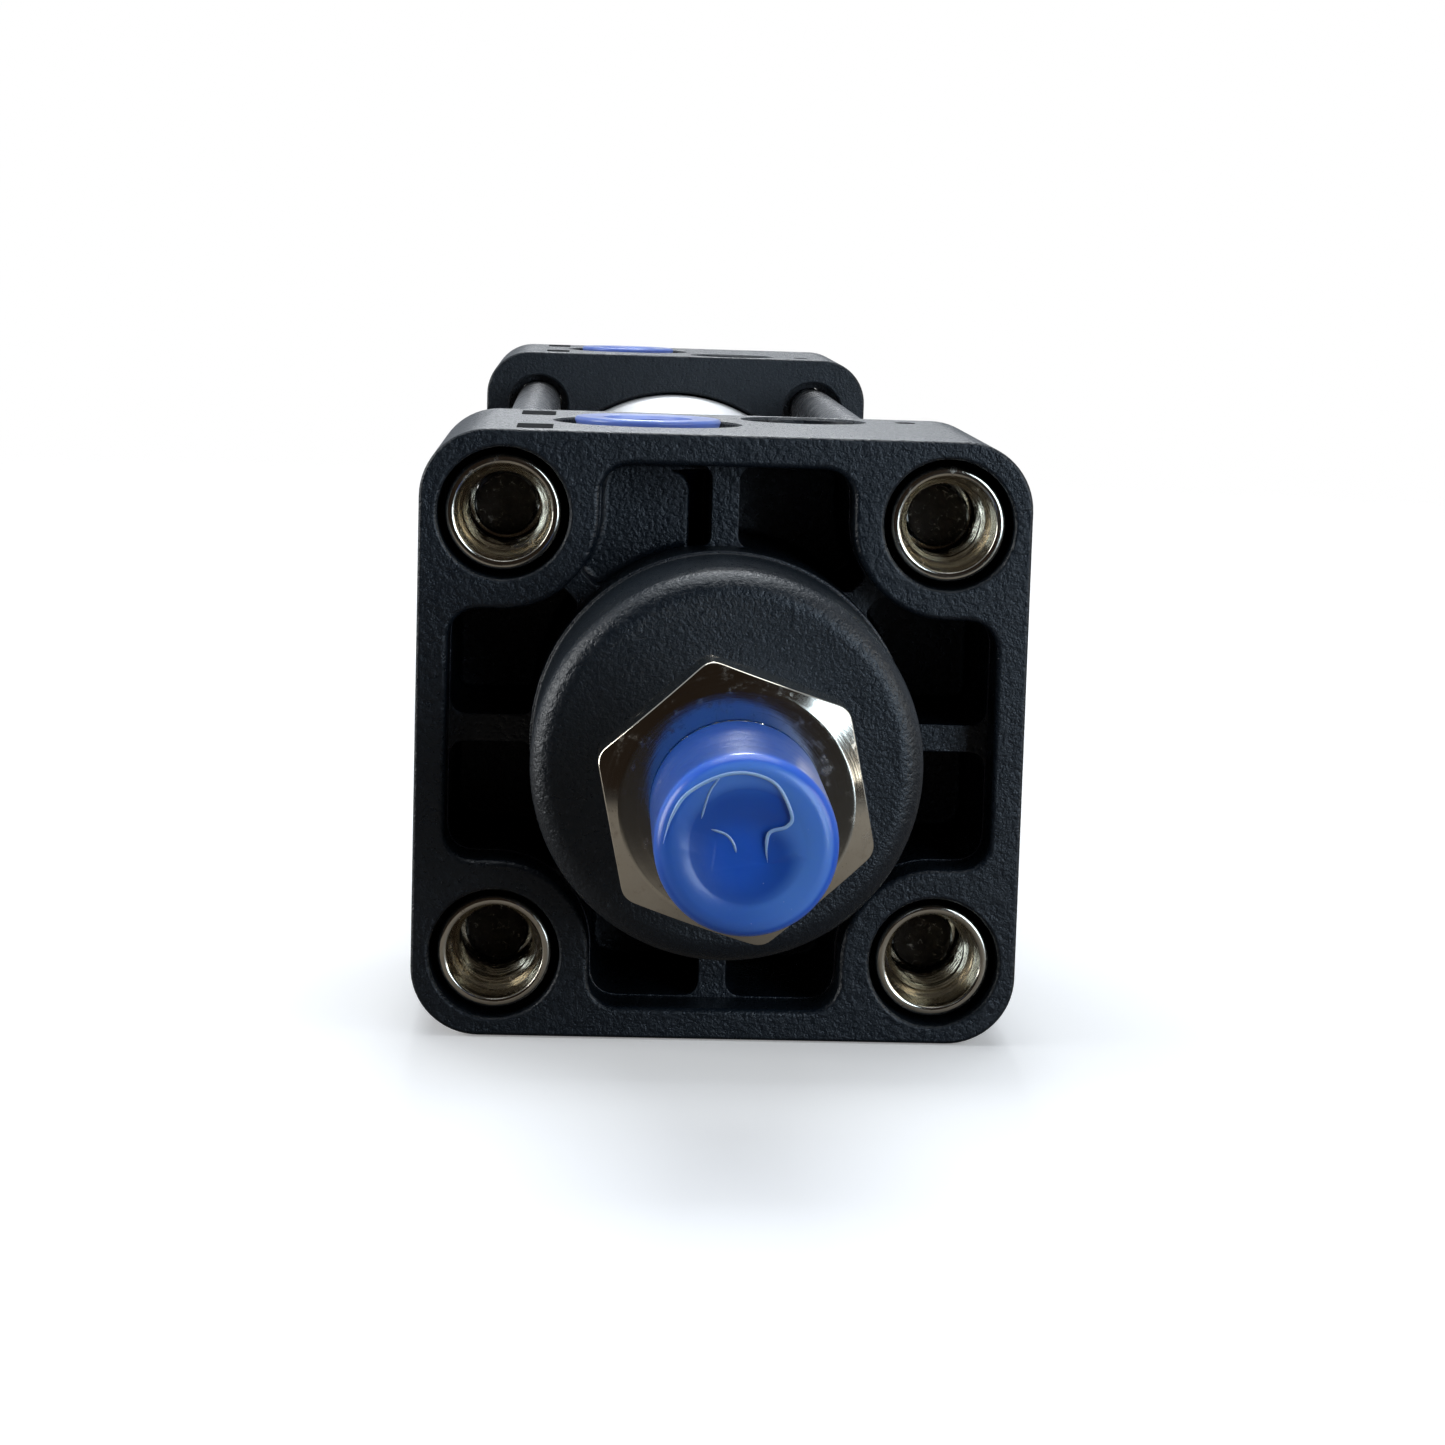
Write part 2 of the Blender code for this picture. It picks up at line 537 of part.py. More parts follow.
def make_piston():
    """Two piston halves with magnet, wear ring and seals, clamped against the rod's shoulder."""
    start, end, bore = PISTON_FRONT, PISTON_REAR, ROD_TAIL_RADIUS + GAP
    split, groove, shelf = start + 15.5, 12.6, 13.0
    oring_bore, oring_length = 6.9, 2.1
    wear_floor, wear_radius, seal_radius, magnet_radius = 14.6, 15.8, 15.75, 15.2
    seal_groove = ((split - 12.5, split - 8.5), (end - 6.7, end - 2.7))
    front = [
        (start, bore), (start, PISTON_RADIUS), (seal_groove[0][0], PISTON_RADIUS),
        (seal_groove[0][0], groove), (seal_groove[0][1], groove), (seal_groove[0][1], PISTON_RADIUS),
        (split - 5, PISTON_RADIUS), (split - 5, shelf), (split, shelf), (split, oring_bore),
        (split - oring_length, oring_bore), (split - oring_length, bore),
    ]
    rear_start, wear = split + GAP, (split + 3, split + 8)
    rear = [
        (rear_start, bore), (rear_start, shelf), (rear_start + 0.7, shelf),
        (rear_start + 0.7, PISTON_RADIUS), (wear[0], PISTON_RADIUS), (wear[0], wear_floor), (wear[1], wear_floor),
        (wear[1], PISTON_RADIUS), (seal_groove[1][0], PISTON_RADIUS), (seal_groove[1][0], groove),
        (seal_groove[1][1], groove), (seal_groove[1][1], PISTON_RADIUS), (end, PISTON_RADIUS), (end, bore),
    ]
    place(new_object("piston_front_half", turned(front, ROUND_LARGE), "piston_alloy"))
    place(new_object("piston_rear_half", turned(rear, ROUND_LARGE), "piston_alloy"))
    ring("magnet_ring", shelf + GAP, magnet_radius, split - 5 + GAP, split + 1 - GAP, "magnet")
    low, high = wear[0] + GAP, wear[1] - GAP
    ring("wear_ring", wear_floor + GAP, wear_radius, low, high, "wear_polymer", ROUND_LARGE)
    for side, (low, high) in zip(("front", "rear"), seal_groove):
        ring(f"piston_seal_{side}", groove + GAP, seal_radius, low + GAP, high - GAP, "seal_rubber")
    low, high = split - oring_length + GAP, split - GAP
    ring("piston_oring", bore + 0.1, oring_bore - GAP, low, high, "seal_rubber", ROUND_SMALL)
    sleeve_end = start - 2 * GAP
    sleeve_start = sleeve_end - CUSHION_SLEEVE_LENGTH
    ring("cushion_sleeve_front", ROD_RADIUS + GAP, CUSHION_SLEEVE, sleeve_start, sleeve_end, "piston_alloy")
    sleeve_start, sleeve_end = end + GAP, end + GAP + CUSHION_SLEEVE_LENGTH
    ring("cushion_sleeve_rear", bore, CUSHION_SLEEVE, sleeve_start, sleeve_end, "piston_alloy")
    make_hex_nut("piston_nut", 15.0, sleeve_end + GAP, 5.0, bore, 0.0, "zinc_steel")


def main():
    clear_scene()
    make_front_cap()
    make_rear_cap()
    make_barrel()
    make_tie_rods()
    make_bearing()
    for side, depth_of in (("front", lambda d: d), ("rear", lambda d: BODY_LENGTH - d)):
        make_cushion_screw(side, depth_of(CUSHION_DEPTH))
        make_port_plug(side, depth_of(PORT_DEPTH))
    make_piston_rod()
    bore = ROD_THREAD_RADIUS + GAP
    make_hex_nut("rod_nut", NUT_FLATS, NUT_FRONT, NUT_THICKNESS, bore, NUT_TURN, "nickel")
    make_thread_cap()
    make_piston()


main()
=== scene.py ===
"""Looks of the tie-rod pneumatic cylinder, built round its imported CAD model.

Shapes are made in millimetres as (x, depth, height): depth runs back from the front cap's
front face and height is from the rod's axis. settle() turns them into metres in the frame.
"""

import math

import bmesh
import bpy
from mathutils import Matrix, Vector


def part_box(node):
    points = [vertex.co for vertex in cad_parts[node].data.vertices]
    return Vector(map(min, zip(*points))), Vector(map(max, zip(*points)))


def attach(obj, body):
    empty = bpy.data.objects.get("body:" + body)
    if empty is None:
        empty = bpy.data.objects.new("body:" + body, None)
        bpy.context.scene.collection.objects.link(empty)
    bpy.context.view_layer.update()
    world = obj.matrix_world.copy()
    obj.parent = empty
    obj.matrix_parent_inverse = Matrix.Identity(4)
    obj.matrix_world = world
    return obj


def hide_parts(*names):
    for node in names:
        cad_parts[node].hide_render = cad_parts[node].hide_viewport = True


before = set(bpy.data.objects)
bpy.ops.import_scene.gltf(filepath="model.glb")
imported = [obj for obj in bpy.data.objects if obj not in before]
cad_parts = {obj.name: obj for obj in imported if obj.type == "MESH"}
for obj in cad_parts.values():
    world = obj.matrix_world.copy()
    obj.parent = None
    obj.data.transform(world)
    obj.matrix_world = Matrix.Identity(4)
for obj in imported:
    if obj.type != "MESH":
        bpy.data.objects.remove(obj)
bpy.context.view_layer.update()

MM = 0.001
BODY = "cylinder"


def box_mm(node):
    low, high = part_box(node)
    return low / MM, high / MM


# Places and sizes read from the frame
BOSS_LENGTH = 15.0
SPIGOT_LENGTH = 5.0
cap_low, cap_high = box_mm("front_cap")
rear_low, rear_high = box_mm("rear_cap")
AXIS_Z = (cap_low.z + cap_high.z) / 2
HALF = (cap_high.z - cap_low.z) / 2
FRONT_Y = cap_low.y + BOSS_LENGTH
CAP_LENGTH = cap_high.y - SPIGOT_LENGTH - FRONT_Y
BODY_LENGTH = rear_high.y - FRONT_Y


def depth_of(y):
    """Depth of a frame coordinate given in millimetres."""
    return y - FRONT_Y


tie_low, tie_high = box_mm("tie_rod_top_right")
TIE_OFFSET = (tie_low.x + tie_high.x) / 2
TIE_RADIUS = (tie_high.x - tie_low.x) / 2
CORNERS = {
    "top_left": (-TIE_OFFSET, TIE_OFFSET),
    "top_right": (TIE_OFFSET, TIE_OFFSET),
    "bottom_left": (-TIE_OFFSET, -TIE_OFFSET),
    "bottom_right": (TIE_OFFSET, -TIE_OFFSET),
}

# Casting
CAP_CORNER = 5.1
CAP_EDGE = 0.28
BOSS_RADIUS = 13.95
BOSS_FILLET = 1.8
BOSS_ROOT = 14.2
FRAME_WALL = 2.35
CORNER_BLOCK = 7.1
RIB_HALF = 1.05
WEB_HALF = 0.9
RIB_SETBACK = 4.5
POCKET_STEP = 0.12
POCKET_DEPTH = 20.0
PORT_POCKET_DEPTH = 7.0
SCREW_POCKET_DEPTH = 18.0
RIM_FILLET = 0.45
COUNTERBORE = 4.88
COUNTERBORE_DEPTH = 15.3
TIE_HOLE = TIE_RADIUS + 0.08
BARREL_OUTER = 18.0
BARREL_SEAT = 3.6
SPIGOT_RADIUS = 15.7
CHAMBER = 10.9
GAP = 0.3

# Port and cushion screw
plug_low, plug_high = box_mm("port_plug_front")
screw_low, screw_high = box_mm("cushion_screw_front")
PORT_X = (plug_low.x + plug_high.x) / 2
PORT_DEPTH = depth_of((plug_low.y + plug_high.y) / 2)
CUSHION_X = (screw_low.x + screw_high.x) / 2
CUSHION_DEPTH = depth_of((screw_low.y + screw_high.y) / 2)
PORT_SPOTFACE = 7.2
PORT_BORE = 4.5
PORT_FLOOR = 11.8
SPOTFACE_SINK = 0.6
CUSHION_RECESS = 4.9
CUSHION_RECESS_SINK = 3.0
CUSHION_HOLE = 2.2
CUSHION_HOLE_FLOOR = 12.5


# ---------------------------------------------------------------- outlines and solids

def arc(cx, cy, radius, start, end, steps):
    """Points on a circle from start to end, in degrees, both ends included."""
    turn = [math.radians(start + (end - start) * i / steps) for i in range(steps + 1)]
    return [(cx + radius * math.cos(a), cy + radius * math.sin(a)) for a in turn]


def quarter_turns(points):
    """The points repeated in the four quarter turns about the axis."""
    whole = list(points)
    for _ in range(3):
        points = [(z, -x) for x, z in points]
        whole += points
    return whole


def walk(points, start, step, distance):
    """The point that lies distance along the closed outline from a corner, and its next index."""
    here, index = Vector(points[start]), start
    while True:
        after = Vector(points[(index + step) % len(points)])
        length = (after - here).length
        if length >= distance:
            return here + (after - here) * (distance / length), (index + step) % len(points)
        distance -= length
        here, index = after, (index + step) % len(points)


def rounded(points, trims, steps=6):
    """The closed outline with its corners rounded. trims gives {index: how far back to trim}."""
    result, index, last = [], 0, len(points)
    skip_until = None
    plan = {}
    for corner, trim in trims.items():
        before, first = walk(points, corner, -1, trim)
        after, following = walk(points, corner, 1, trim)
        plan[corner] = (before, first, after, following)
    order = sorted(plan)
    for place, corner in enumerate(order):
        before, _, after, following = plan[corner]
        tip = Vector(points[corner])
        for i in range(steps + 1):
            t = i / steps
            result.append(tuple(before * (1 - t) ** 2 + tip * 2 * t * (1 - t) + after * t * t))
        stop = plan[order[(place + 1) % len(order)]][1]
        index = following
        while index != (stop + 1) % last:
            result.append(tuple(points[index]))
            index = (index + 1) % last
    return result


def grown(outline, distance):
    """The outline moved outwards by a distance, inwards if it is negative."""
    count = len(outline)
    area = sum(
        outline[i][0] * outline[(i + 1) % count][1] - outline[(i + 1) % count][0] * outline[i][1]
        for i in range(count)
    )
    side = 1 if area > 0 else -1
    moved = []
    for i in range(count):
        here = Vector(outline[i])
        come = (here - Vector(outline[i - 1])).normalized()
        go = (Vector(outline[(i + 1) % count]) - here).normalized()
        first = Vector((come.y, -come.x)) * side
        second = Vector((go.y, -go.x)) * side
        push = (first + second) / max(0.35, 1 + first.dot(second))
        moved.append(tuple(here + push * distance))
    return moved


def layered(outline, layers):
    """A closed solid through (depth, growth) layers of one outline."""
    bm = bmesh.new()
    rings = []
    for depth, growth in layers:
        shape = grown(outline, growth) if growth else outline
        rings.append([bm.verts.new((x, depth, z)) for x, z in shape])
    bm.faces.new(rings[0])
    bm.faces.new(rings[-1])
    for a, b in zip(rings, rings[1:]):
        for i in range(len(a)):
            j = (i + 1) % len(a)
            bm.faces.new((a[i], a[j], b[j], b[i]))
    return bm


def mouth_layers(face, fillet, floor, foot=0.0, steps=4):
    """Layers of a pocket cutter: rounded over at the face, with a hollow fillet at its floor."""
    layers = [(face - 1.0, fillet)]
    for i in range(steps + 1):
        turn = math.pi / 2 * i / steps
        layers.append((face + fillet * (1 - math.cos(turn)), fillet * (1 - math.sin(turn))))
    for i in range(steps + 1 if foot else 0):
        turn = math.pi / 2 * i / steps
        layers.append((floor - foot * (1 - math.sin(turn)), -foot * (1 - math.cos(turn))))
    if not foot:
        layers.append((floor, 0.0))
    return layers


def thread_wave(turns):
    """Thread form, 0 on the crest and 1 at the root."""
    return min(1.0, max(0.0, (abs(2 * (turns % 1.0) - 1) - 0.14) / 0.7))


def turned(profile, segments=96, pitch=1.0):
    """A body turned about Y from (depth, radius) or (depth, radius, thread depth) points.

    A profile that starts and ends at radius 0 is solid, any other is a closed ring.
    """
    bm = bmesh.new()
    rows = []
    for depth, radius, *more in profile:
        if radius == 0:
            rows.append([bm.verts.new((0, depth, 0))] * segments)
            continue
        swing = more[0] if more else 0.0
        row = []
        for k in range(segments):
            angle = 2 * math.pi * k / segments
            r = radius - swing * thread_wave(depth / pitch - k / segments) if swing else radius
            row.append(bm.verts.new((r * math.sin(angle), depth, r * math.cos(angle))))
        rows.append(row)
    pairs = list(zip(rows, rows[1:]))
    if profile[0][1] > 0:
        pairs.append((rows[-1], rows[0]))
    for a, b in pairs:
        for k in range(segments):
            n = (k + 1) % segments
            bm.faces.new(list(dict.fromkeys((a[k], a[n], b[n], b[k]))))
    return bm


def corner_arc(depth, radius, fillet, start, end, steps=5):
    """(depth, radius) points of a rounded edge about a centre, angles in degrees from +depth."""
    return [(d, r) for d, r in arc(depth, radius, fillet, start, end, steps)]


def thread(start, end, radius, height, pitch, rows_per_turn=8):
    """Profile points along a threaded length, fading out over the first and last turn."""
    count = max(2, round(abs(end - start) / pitch * rows_per_turn))
    points = []
    for i in range(count + 1):
        depth = start + (end - start) * i / count
        inside = min(abs(depth - start), abs(end - depth)) / pitch
        points.append((depth, radius, height * min(1.0, inside)))
    return points


def upright(bm):
    """Turns a body made about Y so that its depth runs up +Z."""
    bmesh.ops.rotate(bm, verts=bm.verts, matrix=Matrix.Rotation(math.pi / 2, 3, "X"))
    return bm


def moved(bm, x=0.0, depth=0.0, height=0.0):
    bmesh.ops.translate(bm, verts=bm.verts, vec=(x, depth, height))
    return bm


def mirrored(bm):
    """The front end's shape turned into the rear end's, and the other way round."""
    for vert in bm.verts:
        vert.co.y = BODY_LENGTH - vert.co.y
    bmesh.ops.reverse_faces(bm, faces=bm.faces)
    return bm


def working_object(bm):
    bmesh.ops.recalc_face_normals(bm, faces=bm.faces)
    mesh = bpy.data.meshes.new("working")
    bm.to_mesh(mesh)
    bm.free()
    obj = bpy.data.objects.new("working", mesh)
    bpy.context.scene.collection.objects.link(obj)
    return obj


def combine(bm, steps):
    """Applies (operation, tool bmesh) steps to a body and gives the result as a bmesh."""
    target = working_object(bm)
    for operation, tool_bm in steps:
        tool = working_object(tool_bm)
        modifier = target.modifiers.new("combine", "BOOLEAN")
        modifier.operation, modifier.solver, modifier.object = operation, "EXACT", tool
        seen = target.evaluated_get(bpy.context.evaluated_depsgraph_get())
        result = bpy.data.meshes.new_from_object(seen)
        target.modifiers.clear()
        spent, target.data = target.data, result
        bpy.data.meshes.remove(spent)
        bpy.data.meshes.remove(tool.data)
    whole = bmesh.new()
    whole.from_mesh(target.data)
    bpy.data.meshes.remove(target.data)
    return whole


def cut(*tools):
    return [("DIFFERENCE", tool) for tool in tools]


def settle(name, bm, material, body, stands_for=(), sharp=32.0):
    """Turns a finished shape into a piece of the object that rides on its CAD body."""
    bmesh.ops.translate(bm, verts=bm.verts, vec=(0, FRONT_Y, AXIS_Z))
    bmesh.ops.scale(bm, vec=(MM, MM, MM), verts=bm.verts)
    bmesh.ops.recalc_face_normals(bm, faces=bm.faces)
    mesh = bpy.data.meshes.new(name)
    bm.to_mesh(mesh)
    bm.free()
    mesh.materials.append(material)
    mesh.shade_smooth()
    mesh.set_sharp_from_angle(angle=math.radians(sharp))
    obj = bpy.data.objects.new(name, mesh)
    bpy.context.scene.collection.objects.link(obj)
    weighted = obj.modifiers.new("weighted_normals", "WEIGHTED_NORMAL")
    weighted.keep_sharp = True
    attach(obj, body)
    if stands_for:
        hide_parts(*stands_for)
    return obj


# ---------------------------------------------------------------- materials

class Shader:
    """A Principled material with short calls for the procedural nodes that it uses."""

    def __init__(self, name, colour, roughness, metallic=0.0, **sockets):
        self.material = bpy.data.materials.new(name)
        self.material.use_nodes = True
        self.tree = self.material.node_tree
        self.shader = self.tree.nodes["Principled BSDF"]
        self.set("Base Color", (*colour, 1.0))
        self.set("Roughness", roughness)
        self.set("Metallic", metallic)
        for socket, value in sockets.items():
            self.set(socket.replace("_", " "), value)
        coords = self.node("ShaderNodeTexCoord")
        self.mm = self.vector_math("SCALE", coords.outputs["Object"], scale=1 / MM)

    def node(self, kind, **values):
        made = self.tree.nodes.new(kind)
        for key, value in values.items():
            setattr(made, key, value)
        return made

    def set(self, socket, value):
        """Sets a constant on the shader's own socket, or links a node's output to it."""
        target = self.shader.inputs[socket]
        if isinstance(value, bpy.types.NodeSocket):
            self.tree.links.new(value, target)
        else:
            target.default_value = value

    def feed(self, node, index, value):
        if isinstance(value, bpy.types.NodeSocket):
            self.tree.links.new(value, node.inputs[index])
        elif value is not None:
            node.inputs[index].default_value = value

    def vector_math(self, operation, a, b=None, scale=None):
        made = self.node("ShaderNodeVectorMath", operation=operation)
        self.feed(made, 0, a)
        self.feed(made, 1, b)
        self.feed(made, "Scale", scale)
        return made.outputs["Value" if operation == "LENGTH" else "Vector"]

    def maths(self, operation, a, b=None, c=None, clamp=False):
        made = self.node("ShaderNodeMath", operation=operation, use_clamp=clamp)
        for index, value in enumerate((a, b, c)):
            self.feed(made, index, value)
        return made.outputs[0]

    def stretched(self, x, y, z):
        return self.vector_math("MULTIPLY", self.mm, (x, y, z))

    def noise(self, scale, detail=2.0, roughness=0.5, at=None, distortion=0.0):
        made = self.node("ShaderNodeTexNoise")
        self.feed(made, "Vector", at or self.mm)
        for socket, value in (("Scale", scale), ("Detail", detail),
                              ("Roughness", roughness), ("Distortion", distortion)):
            made.inputs[socket].default_value = value
        return made.outputs["Fac"]

    def cells(self, scale, feature="F1", randomness=1.0, at=None):
        made = self.node("ShaderNodeTexVoronoi", feature=feature)
        self.feed(made, "Vector", at or self.mm)
        made.inputs["Scale"].default_value = scale
        made.inputs["Randomness"].default_value = randomness
        return made.outputs["Distance"]

    def ramp(self, value, low, high, out_low=0.0, out_high=1.0, smooth=True):
        made = self.node("ShaderNodeMapRange", clamp=True)
        made.interpolation_type = "SMOOTHSTEP" if smooth else "LINEAR"
        for index, number in enumerate((value, low, high, out_low, out_high)):
            self.feed(made, index, number)
        return made.outputs[0]

    def blend(self, factor, a, b, mode="MIX"):
        made = self.node("ShaderNodeMix", data_type="RGBA", blend_type=mode)
        self.feed(made, "Factor", factor)
        for socket, value in ((6, a), (7, b)):
            if isinstance(value, tuple) and len(value) == 3:
                value = (*value, 1.0)
            self.feed(made, socket, value)
        return made.outputs[2]

    def bump(self, height, strength, distance_mm, under=None):
        made = self.node("ShaderNodeBump")
        made.inputs["Strength"].default_value = strength
        made.inputs["Distance"].default_value = distance_mm * MM
        self.feed(made, "Height", height)
        self.feed(made, "Normal", under)
        return made.outputs["Normal"]

    def around(self, x, height):
        """(radius, depth, turn) about an axis along Y, in mm, for lathe marks."""
        local = self.vector_math("SUBTRACT", self.mm, (x, FRONT_Y, AXIS_Z + height))
        split = self.node("ShaderNodeSeparateXYZ")
        self.feed(split, 0, local)
        flat = self.vector_math("MULTIPLY", local, (1, 0, 1))
        radius = self.vector_math("LENGTH", flat)
        angle = self.maths("ARCTAN2", split.outputs["X"], split.outputs["Z"])
        return radius, split.outputs["Y"], angle

    def join(self, x, y, z):
        made = self.node("ShaderNodeCombineXYZ")
        for index, value in enumerate((x, y, z)):
            self.feed(made, index, value)
        return made.outputs[0]


def paint_material():
    """Black-blue powder coat over a casting: leathery grain, orange peel, dust and rubbed spots."""
    s = Shader("cap_paint", (0.009, 0.015, 0.024), 0.40, Specular_IOR_Level=0.5)
    grain = s.noise(3.1, 3.0, 0.62)
    peel = s.noise(0.75, 3.0, 0.5)
    cloud = s.noise(0.09, 4.0)
    speck = s.ramp(s.noise(1.9, 2.0, 0.5, at=s.stretched(1.0, 1.3, 0.8)), 0.68, 0.78)
    scuff = s.ramp(s.noise(0.7, 6.0, 0.7, at=s.stretched(0.6, 1.6, 1.1)), 0.66, 0.80)
    tone = s.blend(cloud, (0.0030, 0.0062, 0.0105), (0.0060, 0.0100, 0.0155))
    tone = s.blend(s.maths("MULTIPLY", scuff, 0.25), tone, (0.030, 0.037, 0.046))
    s.set("Base Color", s.blend(s.maths("MULTIPLY", speck, 0.5), tone, (0.040, 0.050, 0.062)))
    s.set("Roughness", s.ramp(grain, 0.35, 0.70, 0.27, 0.41))
    height = s.maths("ADD", grain, s.maths("MULTIPLY", peel, 0.6))
    s.set("Normal", s.bump(height, 0.85, 0.13))
    return s.material


def anodised_material():
    """Drawn and anodised aluminium: fine lines along the tube and a faint bloom."""
    s = Shader("barrel_anodised", (0.66, 0.67, 0.68), 0.28, 1.0)
    lines = s.noise(5.0, 4.0, at=s.stretched(1.0, 0.02, 1.0))
    bloom = s.noise(0.12, 4.0)
    s.set("Base Color", s.blend(bloom, (0.80, 0.81, 0.82), (0.88, 0.88, 0.89)))
    s.set("Roughness", s.ramp(s.maths("ADD", lines, s.maths("MULTIPLY", bloom, 0.5)), 0.4, 1.2, 0.46, 0.54))
    s.set("Normal", s.bump(lines, 0.15, 0.004))
    return s.material


def steel_material(name, bright, dull, wear=0.5):
    """Zinc-plated steel with a blotchy passivated film and draw marks along the rod."""
    s = Shader(name, bright, 0.36, 1.0)
    lines = s.noise(7.0, 3.0, at=s.stretched(1.0, 0.05, 1.0))
    film = s.noise(0.5, 5.0, 0.65)
    spots = s.ramp(s.cells(1.3), 0.05, 0.2, 1.0, 0.0)
    tone = s.blend(s.ramp(film, 0.3, 0.7), dull, bright)
    s.set("Base Color", s.blend(s.maths("MULTIPLY", spots, wear), tone, (0.10, 0.09, 0.08)))
    s.set("Roughness", s.ramp(film, 0.3, 0.7, 0.30, 0.20))
    s.set("Normal", s.bump(s.maths("ADD", lines, s.maths("MULTIPLY", film, 0.6)), 0.2, 0.008))
    return s.material


def nickel_material(name, x=0.0, height=0.0, gloss=0.12, marks=0.02):
    """Warm bright plating over a turned surface, with fine lathe rings, pits and stains."""
    s = Shader(name, (0.80, 0.75, 0.66), gloss, 1.0)
    radius, depth, angle = s.around(x, height)
    rings = s.noise(6.0, 3.0, at=s.join(radius, depth, s.maths("MULTIPLY", angle, 0.15)))
    ripple = s.noise(0.55, 3.0, 0.6)
    stain = s.ramp(s.noise(0.8, 5.0, 0.7), 0.52, 0.72)
    pits = s.ramp(s.cells(2.2), 0.04, 0.10, 1.0, 0.0)
    tone = s.blend(ripple, (0.84, 0.80, 0.70), (0.70, 0.64, 0.53))
    tone = s.blend(s.maths("MULTIPLY", stain, 0.45), tone, (0.30, 0.21, 0.14))
    s.set("Base Color", s.blend(s.maths("MULTIPLY", pits, 0.6), tone, (0.12, 0.09, 0.06)))
    s.set("Roughness", s.ramp(s.maths("ADD", rings, stain), 0.4, 1.5, gloss, gloss + 0.18))
    height_map = s.maths("ADD", rings, s.maths("MULTIPLY", ripple, 2.0))
    s.set("Normal", s.bump(height_map, 0.3, marks))
    return s.material


def chrome_material():
    """Hard-chromed and ground rod: very fine rings about the rod, nearly a mirror."""
    s = Shader("rod_chrome", (0.78, 0.79, 0.81), 0.08, 1.0)
    radius, depth, angle = s.around(0.0, 0.0)
    rings = s.noise(14.0, 2.0, at=s.join(radius, depth, s.maths("MULTIPLY", angle, 0.1)))
    haze = s.noise(0.3, 4.0)
    s.set("Base Color", s.blend(haze, (0.72, 0.73, 0.76), (0.82, 0.83, 0.84)))
    s.set("Roughness", s.ramp(haze, 0.3, 0.7, 0.06, 0.14))
    s.set("Normal", s.bump(rings, 0.12, 0.01))
    return s.material


def soft_blue_material(name, deep, light, roughness, haze_scale, painted_shade_and_highlight):
    """Translucent moulded vinyl: milky depth, a waxy surface and small scratches and dust. With
    painted_shade_and_highlight given, it paints shade and a highlight on the cap's end.
    """
    s = Shader(name, light, roughness, Subsurface_Weight=0.35, Subsurface_Scale=0.0015,
               Subsurface_Radius=(0.25, 0.5, 1.0), Coat_Weight=0.2, Coat_Roughness=0.12)
    cloud = s.noise(haze_scale, 4.0, 0.55)
    wax = s.noise(1.2, 3.0)
    scratch = s.ramp(s.noise(2.2, 4.0, 0.7, at=s.stretched(1.0, 0.35, 1.4)), 0.68, 0.78)
    dust = s.ramp(s.cells(1.1), 0.03, 0.055, 1.0, 0.0)
    tone = s.blend(s.ramp(cloud, 0.3, 0.7), deep, light)
    if painted_shade_and_highlight:
        # painted shade and painted highlight: the thread's end behind the sunk middle and the dish's shade are
        # painted as a dark ring, and the skin is painted paler where it stands clear at the tip's level
        tip = box_mm("rod_thread_cap")[0].y - FRONT_Y
        radius, depth, angle = s.around(-0.5, -0.7)
        near = s.ramp(depth, tip + 1.6, tip + 1.0)
        ring = s.maths("MULTIPLY", s.ramp(radius, 0.9, 2.9), s.ramp(radius, 5.8, 3.6))
        # painted shade: a dark ring in the sunk middle near the tip
        tone = s.blend(s.maths("MULTIPLY", s.maths("MULTIPLY", ring, near), 0.6), tone, painted_shade_and_highlight[0])
        # painted highlight: the skin at the tip's level is paler, most towards the upper right
        turn = s.ramp(s.maths("COSINE", s.maths("SUBTRACT", angle, 1.05)), -0.7, 0.6, 0.25, 0.75)
        painted_highlight_shelf = s.maths("MULTIPLY", s.ramp(depth, tip + 0.30, tip + 0.10), turn)
        tone = s.blend(painted_highlight_shelf, tone, painted_shade_and_highlight[1])
        # painted shade: the cap's side is darker further back from the tip
        tone = s.blend(s.ramp(depth, tip + 0.9, tip + 2.6, 0.0, 0.72), tone, painted_shade_and_highlight[0])
    marks = s.maths("MAXIMUM", s.maths("MULTIPLY", scratch, 0.20), s.maths("MULTIPLY", dust, 0.35))
    s.set("Base Color", s.blend(marks, tone, (0.45, 0.55, 0.85)))
    s.set("Roughness", s.ramp(s.maths("ADD", wax, scratch), 0.4, 1.4, roughness - 0.06, roughness + 0.16))
    s.set("Normal", s.bump(s.maths("ADD", wax, s.maths("MULTIPLY", scratch, 0.3)), 0.22, 0.05))
    return s.material


def rubber_material():
    """Moulded black nitrile with a dry bloom and fine grain."""
    s = Shader("seal_rubber", (0.016, 0.016, 0.017), 0.62, Specular_IOR_Level=0.35)
    bloom = s.noise(0.7, 5.0, 0.6)
    grain = s.noise(9.0, 2.0)
    s.set("Base Color", s.blend(s.ramp(bloom, 0.4, 0.75), (0.011, 0.011, 0.012), (0.035, 0.034, 0.033)))
    s.set("Roughness", s.ramp(bloom, 0.3, 0.7, 0.52, 0.74))
    s.set("Normal", s.bump(grain, 0.3, 0.02))
    return s.material


def bronze_material():
    """Oil-soaked sintered bronze: open pores over a turned surface."""
    s = Shader("bronze", (0.56, 0.36, 0.17), 0.38, 1.0)
    pores = s.ramp(s.cells(4.0), 0.10, 0.28, 1.0, 0.0)
    tint = s.noise(0.6, 5.0)
    tone = s.blend(tint, (0.46, 0.28, 0.12), (0.64, 0.43, 0.22))
    s.set("Base Color", s.blend(s.maths("MULTIPLY", pores, 0.7), tone, (0.08, 0.05, 0.03)))
    s.set("Roughness", s.ramp(tint, 0.3, 0.7, 0.30, 0.48))
    s.set("Normal", s.bump(s.maths("SUBTRACT", 1.0, pores), 0.5, 0.03))
    return s.material


